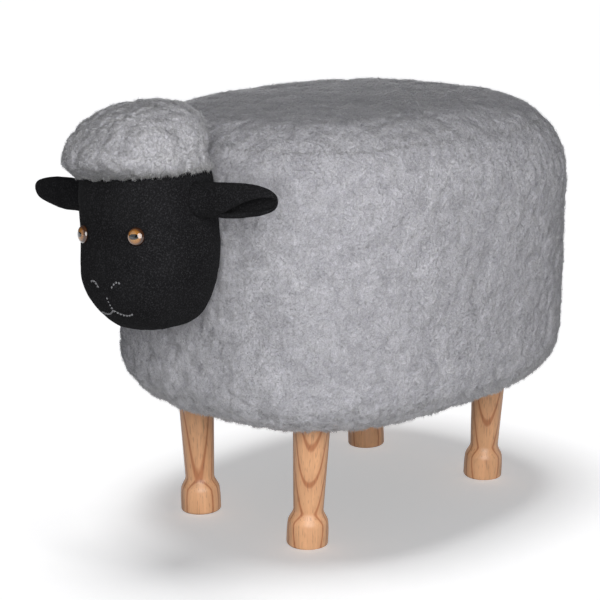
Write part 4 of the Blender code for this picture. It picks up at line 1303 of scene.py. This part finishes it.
def eye_finish():
    """Amber glass-like button with a dark level pupil."""
    made = Nodes("eye_plastic", Roughness=0.08, Coat_Weight=1.0, Coat_Roughness=0.03, Specular_IOR_Level=0.6)
    place = made.axes(made.where())
    across, up = (
        made.math("DIVIDE", place[axis], EYE_DIAMETER * share) for axis, share in zip("XY", PUPIL_SHARES)
    )
    pupil = made.ramp(made.powers((across, 2.6), (up, 2.2)), ((0.85, 1.0), (1.05, 0.0)))
    reach = made.math("SQRT", made.powers((place["X"], 2.0), (place["Y"], 2.0)))
    reach = made.math("DIVIDE", reach, EYE_DIAMETER / 2)
    amber = ((0.30, (0.42, 0.20, 0.045)), (0.68, (0.30, 0.12, 0.022)), (0.86, (0.05, 0.018, 0.006)))
    iris = made.tint(made.ramp(reach, amber), made.noise(700, 2.0, 0.6), ((0.3, 0.7), (0.7, 1.2)), share=0.5)
    made.feed([made.shader.inputs["Base Color"]], [made.mix(pupil, iris, (0.004, 0.004, 0.004, 1))])
    return made.material


def make_eyes():
    """Domed button eyes on their stems."""
    finish = eye_finish()
    radius = EYE_DIAMETER / 2
    dome = [(EYE_STEM / 2, -EYE_STEM_LENGTH), (EYE_STEM / 2, 0.0), (radius - EYE_RIM, 0.0), (radius, EYE_RIM)]
    for angle in np.linspace(0, QUARTER, EYE_STEPS)[1:-1]:
        dome.append((radius * math.cos(angle), EYE_RIM + (EYE_DOME - EYE_RIM) * math.sin(angle)))
    for hand, across in LEFT_AND_RIGHT:
        normal = face_normal(across * EYE_SPREAD, EYE_LEVEL)
        side = Vector((0, 0, 1)).cross(normal).normalized()
        turn = Matrix((side, normal.cross(side), normal)).transposed().to_4x4()
        middle = face_point(across * EYE_SPREAD, EYE_LEVEL) + normal * EYE_STANDOFF
        place = HEAD_PLACE @ Matrix.Translation(middle) @ turn
        name = "button_eye_" + hand
        add_piece(name, creased(lathe(name, dome, EYE_SIDES)), finish, place, ("eye_" + hand,))


# Sewing

def thread_finish():
    """Twisted grey embroidery thread."""
    made = Nodes("grey_thread", Roughness=0.6, Sheen_Weight=0.3)
    twist = made.noise(1500, 2.0, 0.6)
    tone = made.ramp(twist, ((0.3, (0.09, 0.09, 0.096)), (0.7, (0.17, 0.17, 0.18))))
    return made.finish(tone, twist, 0.5, 0.0003)


def stitches_mesh(name, stitches, radius):
    """Short arched threads between pairs of points, each with the direction that it arches in."""
    sides, stations = THREAD_SIDES, THREAD_STATIONS
    points, quads, triangles = [], [], []
    for start, end, out in stitches:
        start, end, out = (np.array(v) for v in (start, end, out))
        side = np.cross(out, unit(end - start))
        base = len(points)
        top = base + (stations - 1) * sides
        for i in range(stations):
            at = i / (stations - 1)
            arch = math.sin(math.pi * at)
            middle = start + (end - start) * at + out * radius * THREAD_ARCH_SHARE * (arch - 0.5)
            reach = radius * (THREAD_TIP_SHARE + (1 - THREAD_TIP_SHARE) * math.sqrt(arch))
            for angle in round_turn(sides)[0]:
                rise = THREAD_FLATNESS_SHARE * math.sin(angle) * out
                points.append(middle + reach * (math.cos(angle) * side + rise))
        for j in range(sides):
            k = (j + 1) % sides
            for low in range(base, top, sides):
                quads.append((low + j, low + k, low + sides + k, low + sides + j))
            triangles += [(base + k, base + j, len(points)), (top + j, top + k, len(points) + 1)]
        points += [start - out * radius * THREAD_SUNK_SHARE, end - out * radius * THREAD_SUNK_SHARE]
    mesh = mesh_from(name, np.array(points), quads, triangles)
    bm = bmesh.new()
    bm.from_mesh(mesh)
    bmesh.ops.recalc_face_normals(bm, faces=bm.faces)
    bm.to_mesh(mesh)
    bm.free()
    return mesh


def along_face(path):
    """Stitches end to end along a drawn line on the face."""
    run, _ = resampled(np.array([face_point(x, z) for x, z in path]), STITCH + STITCH_GAP)
    found = []
    for start, end in zip(run, run[1:]):
        step = (end - start) * STITCH / (STITCH + STITCH_GAP)
        found.append((start, start + step, np.array(face_normal(start[0], start[2]))))
    return found


def make_face():
    """Stitched nostrils and mouth on the muzzle."""
    stitches = []
    for across in (1, -1):
        for start, run, level, arch, sweep in (
            (NOSTRIL_START, NOSTRIL_RUN, NOSTRIL_LEVEL, NOSTRIL_ARCH, NOSTRIL_SWEEP),
            (0, MOUTH_RUN, MOUTH_LEVEL, -MOUTH_ARCH, MOUTH_SWEEP),
        ):
            t = np.linspace(0, 1, FACE_LINE_STEPS)
            stitches += along_face(zip(across * (start + run * t), level + arch * np.sin(sweep * t)))
    stitches += along_face([(0, LIP_LINE_TOP), (0, LIP_LINE_BOTTOM)])
    mesh = stitches_mesh("face_stitching", stitches, THREAD_RADIUS)
    add_piece("face_stitching", mesh, thread_finish(), HEAD_PLACE)


make_head_cover()
make_ears()
make_cap()
make_eyes()
make_face()


# Frame and fastenings

def sheet_wood_finish(name, pale, dark, plies):
    """Plywood: a pale face veneer with long grain, and layered edges."""
    made = Nodes(name, Roughness=0.62, Specular_IOR_Level=0.3)
    veins = made.noise(60, 5.0, 0.6, stretch=(1, 0.08, 1), distortion=0.6)
    face = made.ramp(veins, ((0.32, dark), (0.66, pale)))
    height = made.axes(made.where())["Z"]
    layer = made.math("GREATER_THAN", made.math("SINE", made.math("MULTIPLY", height, plies)), 0.0)
    up = made.axes(made.add("NewGeometry").outputs["Normal"])["Z"]
    edge = made.math("LESS_THAN", made.math("ABSOLUTE", up), 0.5)
    layers = made.mix(layer, tuple(1.05 * c for c in pale) + (1,), tuple(0.55 * c for c in dark) + (1,))
    return made.finish(made.mix(edge, face, layers), veins, 0.15, 0.0004)


def board_finish():
    """Brown pressed fibreboard."""
    made = Nodes("fibreboard", Roughness=0.8, Specular_IOR_Level=0.2)
    flecks = made.noise(500, 4.0, 0.7)
    tone = made.ramp(flecks, ((0.3, (0.16, 0.09, 0.045)), (0.7, (0.30, 0.19, 0.10))))
    return made.finish(tone, flecks, 0.3, 0.0004)


def zinc_finish():
    """Zinc-plated steel with faint spangle and fine scratches."""
    made = Nodes("zinc_steel", Metallic=1.0, Roughness=0.32)
    tone = made.ramp(made.noise(260, 3.0, 0.6), ((0.3, (0.50, 0.51, 0.53)), (0.7, (0.68, 0.69, 0.70))))
    return made.finish(tone, made.noise(1200, 2.0, 0.6, stretch=(1, 1, 0.1)), 0.08, 0.0001)


def washer_finish():
    """White moulded plastic."""
    made = Nodes("washer_plastic", Roughness=0.45)
    tone = made.ramp(made.noise(200, 2.0), ((0.3, (0.68, 0.68, 0.66)), (0.7, (0.76, 0.76, 0.74))))
    return made.finish(tone, made.noise(900, 2.0), 0.1, 0.0001)


ZINC = zinc_finish()
PLYWOOD = sheet_wood_finish("plywood", (0.60, 0.44, 0.27), (0.47, 0.32, 0.18), 2600.0)
NODE_FINISHES = {
    "side_wrap": board_finish(),
    "post": wood_finish("pine", (0.68, 0.50, 0.29), (0.52, 0.32, 0.15), POST_RING, 160.0, 0.55),
    "eye_washer": washer_finish(),
}
for start in ("base_board", "seat_board", "front_panel", "head_board"):
    NODE_FINISHES[start] = PLYWOOD
for start in ("base_screw", "seat_screw", "panel_", "hanger_bolt", "tee_nut", "head_bolt", "head_nut"):
    NODE_FINISHES[start] = ZINC
for name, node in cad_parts.items():
    for start, finish in NODE_FINISHES.items():
        if name.startswith(start):
            node.data.materials.clear()
            node.data.materials.append(finish)


def make_staples():
    """Staples that hold the hem and the dust cloth under the base board."""
    wire = STAPLE_WIRE
    bm = bmesh.new()
    for reach, count, low in (
        (HEM_REACH - HEM_STAPLE_EDGE, HEM_STAPLES, BASE - SOFT_GAP),
        (HEM_REACH + CLOTH_STAPLE_EDGE, CLOTH_STAPLES, BASE - FIT_GAP - DUST_COVER),
    ):
        rows = body_rows([(reach, low, 1)], count * STAPLE_COLUMNS)[0]
        for i in range(0, len(rows), STAPLE_COLUMNS):
            ahead = Vector(rows[i + 1]) - Vector(rows[i - 1])
            place = Matrix.Translation(rows[i]) @ Matrix.Rotation(math.atan2(ahead.y, ahead.x), 4, "Z")
            for across, down, size in (
                (0, -wire / 2, (STAPLE_WIDTH, wire, wire)),
                (-1, STAPLE_LEG / 2 - wire, (wire, wire, STAPLE_LEG)),
                (1, STAPLE_LEG / 2 - wire, (wire, wire, STAPLE_LEG)),
            ):
                shift = Vector((across * (STAPLE_WIDTH - wire) / 2, 0, down))
                add_box(bm, size, place @ Matrix.Translation(shift))
    add_piece("cover_staples", worked_mesh("cover_staples", bm), ZINC)


make_staples()


# Floor, lights and camera

STAGE_REACH = 12.0
DOME_SUNK = 0.1
AIM = Vector((0.03, BODY_Y - 0.13, 0.25))
SUN_POWER = 1.78
SUN_SPREAD = math.radians(24)
SUN_TILT = math.radians(3)
AIR_STRENGTH = 0.073
AIR_COLOUR = (0.95, 0.97, 1.10, 1)
FLOOR_GREY = 0.9
FLOOR_GLOW = 0.443
DOME_STEPS = 16
DOME_SIDES = 48
LENS_MM = 109.75
SENSOR_MM = 36.0
CAMERA_PLACE = (1.0761, BODY_Y - 1.2807, 0.5992)
CAMERA_TURN = (QUARTER - 0.2407, 0, 0.7232)
# Name, degrees round from the front and up, distance, size across and up, and power of each lamp
LAMPS = (
    ("softbox", 50.5, 17, 1.3, 1.4, 1.1, 23.2),
    ("fill", -20.0, 17, 1.3, 1.1, 1.1, 1.7),
    ("back", 225.0, 6, 2.0, 1.2, 0.5, 24.0),
    ("side", 145.0, 6, 2.0, 1.2, 0.5, 2.0),
    ("from_below", 58.0, -76, 0.9, 1.0, 0.6, 2.8),
)


def glowing_finish(name, roughness, base, strength):
    """A matt surface with a white glow of its own."""
    return Nodes(
        name, Roughness=roughness, Specular_IOR_Level=0.0, Base_Color=(base, base, base, 1),
        Emission_Color=(1, 1, 1, 1), Emission_Strength=strength,
    ).material


def make_backdrop():
    """White dome behind everything, seen by the camera alone."""
    glow = glowing_finish("studio_air_glow", 1.0, 0.0, 1.0)
    glow.cycles.emission_sampling = "NONE"
    angles = np.linspace(0, QUARTER, DOME_STEPS)[:-1]
    profile = stacked(STAGE_REACH * np.cos(angles), STAGE_REACH * np.sin(angles) - DOME_SUNK)
    dome = put("studio_dome", lathe("studio_dome", profile, DOME_SIDES))
    dome.data.materials.append(glow)
    for kind in ("diffuse", "glossy", "transmission", "volume_scatter", "shadow"):
        setattr(dome, "visible_" + kind, False)


def make_floor():
    """White floor that lights nothing."""
    corners = [(x * STAGE_REACH, y * STAGE_REACH, 0) for x, y in ((-1, -1), (1, -1), (1, 1), (-1, 1))]
    floor = put("studio_floor", mesh_from("studio_floor", np.array(corners), [(0, 1, 2, 3)]))
    floor.data.materials.append(glowing_finish("studio_floor", 0.9, FLOOR_GREY, FLOOR_GLOW))
    floor.visible_diffuse = False
    return floor


def make_air():
    """Faint cool light from all round."""
    world = bpy.data.worlds.new("studio_air")
    bpy.context.scene.world = world
    world.use_nodes = True
    inputs = world.node_tree.nodes["Background"].inputs
    inputs["Color"].default_value = AIR_COLOUR
    inputs["Strength"].default_value = AIR_STRENGTH


def group_of(name, objects):
    """A named group of objects that a lamp lights or passes by."""
    group = bpy.data.collections.new(name)
    for member in objects:
        group.objects.link(member)
    return group


def make_lights(floor, fleeces):
    """A high sun, lamps round the stool that pass the floor by, and one from below for the fleece."""
    sun = bpy.data.lights.new("overhead", "SUN")
    sun.energy = SUN_POWER
    sun.angle = SUN_SPREAD
    overhead = put("overhead", sun)
    overhead.rotation_euler = (SUN_TILT, -SUN_TILT, 0)
    lamps = [(overhead, "INCLUDE")]
    for name, turned, raised, reach, width, height, power in LAMPS:
        light = bpy.data.lights.new(name, "AREA")
        light.shape = "ELLIPSE"
        light.size = width
        light.size_y = height
        light.energy = power
        lamp = put(name, light)
        away = Matrix.Rotation(math.radians(turned), 3, "Z") @ Vector((0, -1, 0))
        away = math.cos(math.radians(raised)) * away + Vector((0, 0, math.sin(math.radians(raised))))
        lamp.location = AIM + reach * away
        lamp.rotation_euler = (-away).to_track_quat("-Z", "Y").to_euler()
        lamp.visible_camera = False
        lamps.append((lamp, "EXCLUDE"))
    for lamp, state in lamps:
        group = group_of(lamp.name + "_floor", [floor])
        group.collection_objects[0].light_linking.link_state = state
        lamp.light_linking.receiver_collection = group
    lamp.light_linking.blocker_collection = group
    lamp.light_linking.receiver_collection = group_of("lit_from_below", fleeces)


def make_camera():
    """The camera of the photograph's view."""
    camera = bpy.data.cameras.new("camera")
    camera.lens = LENS_MM
    camera.sensor_width = SENSOR_MM
    viewer = put("camera", camera)
    viewer.location = CAMERA_PLACE
    viewer.rotation_euler = CAMERA_TURN
    bpy.context.scene.camera = viewer
    bpy.context.scene.view_settings.view_transform = "Standard"


floor = make_floor()
make_air()
make_lights(floor, [side] + side_piles)
make_backdrop()
make_camera()
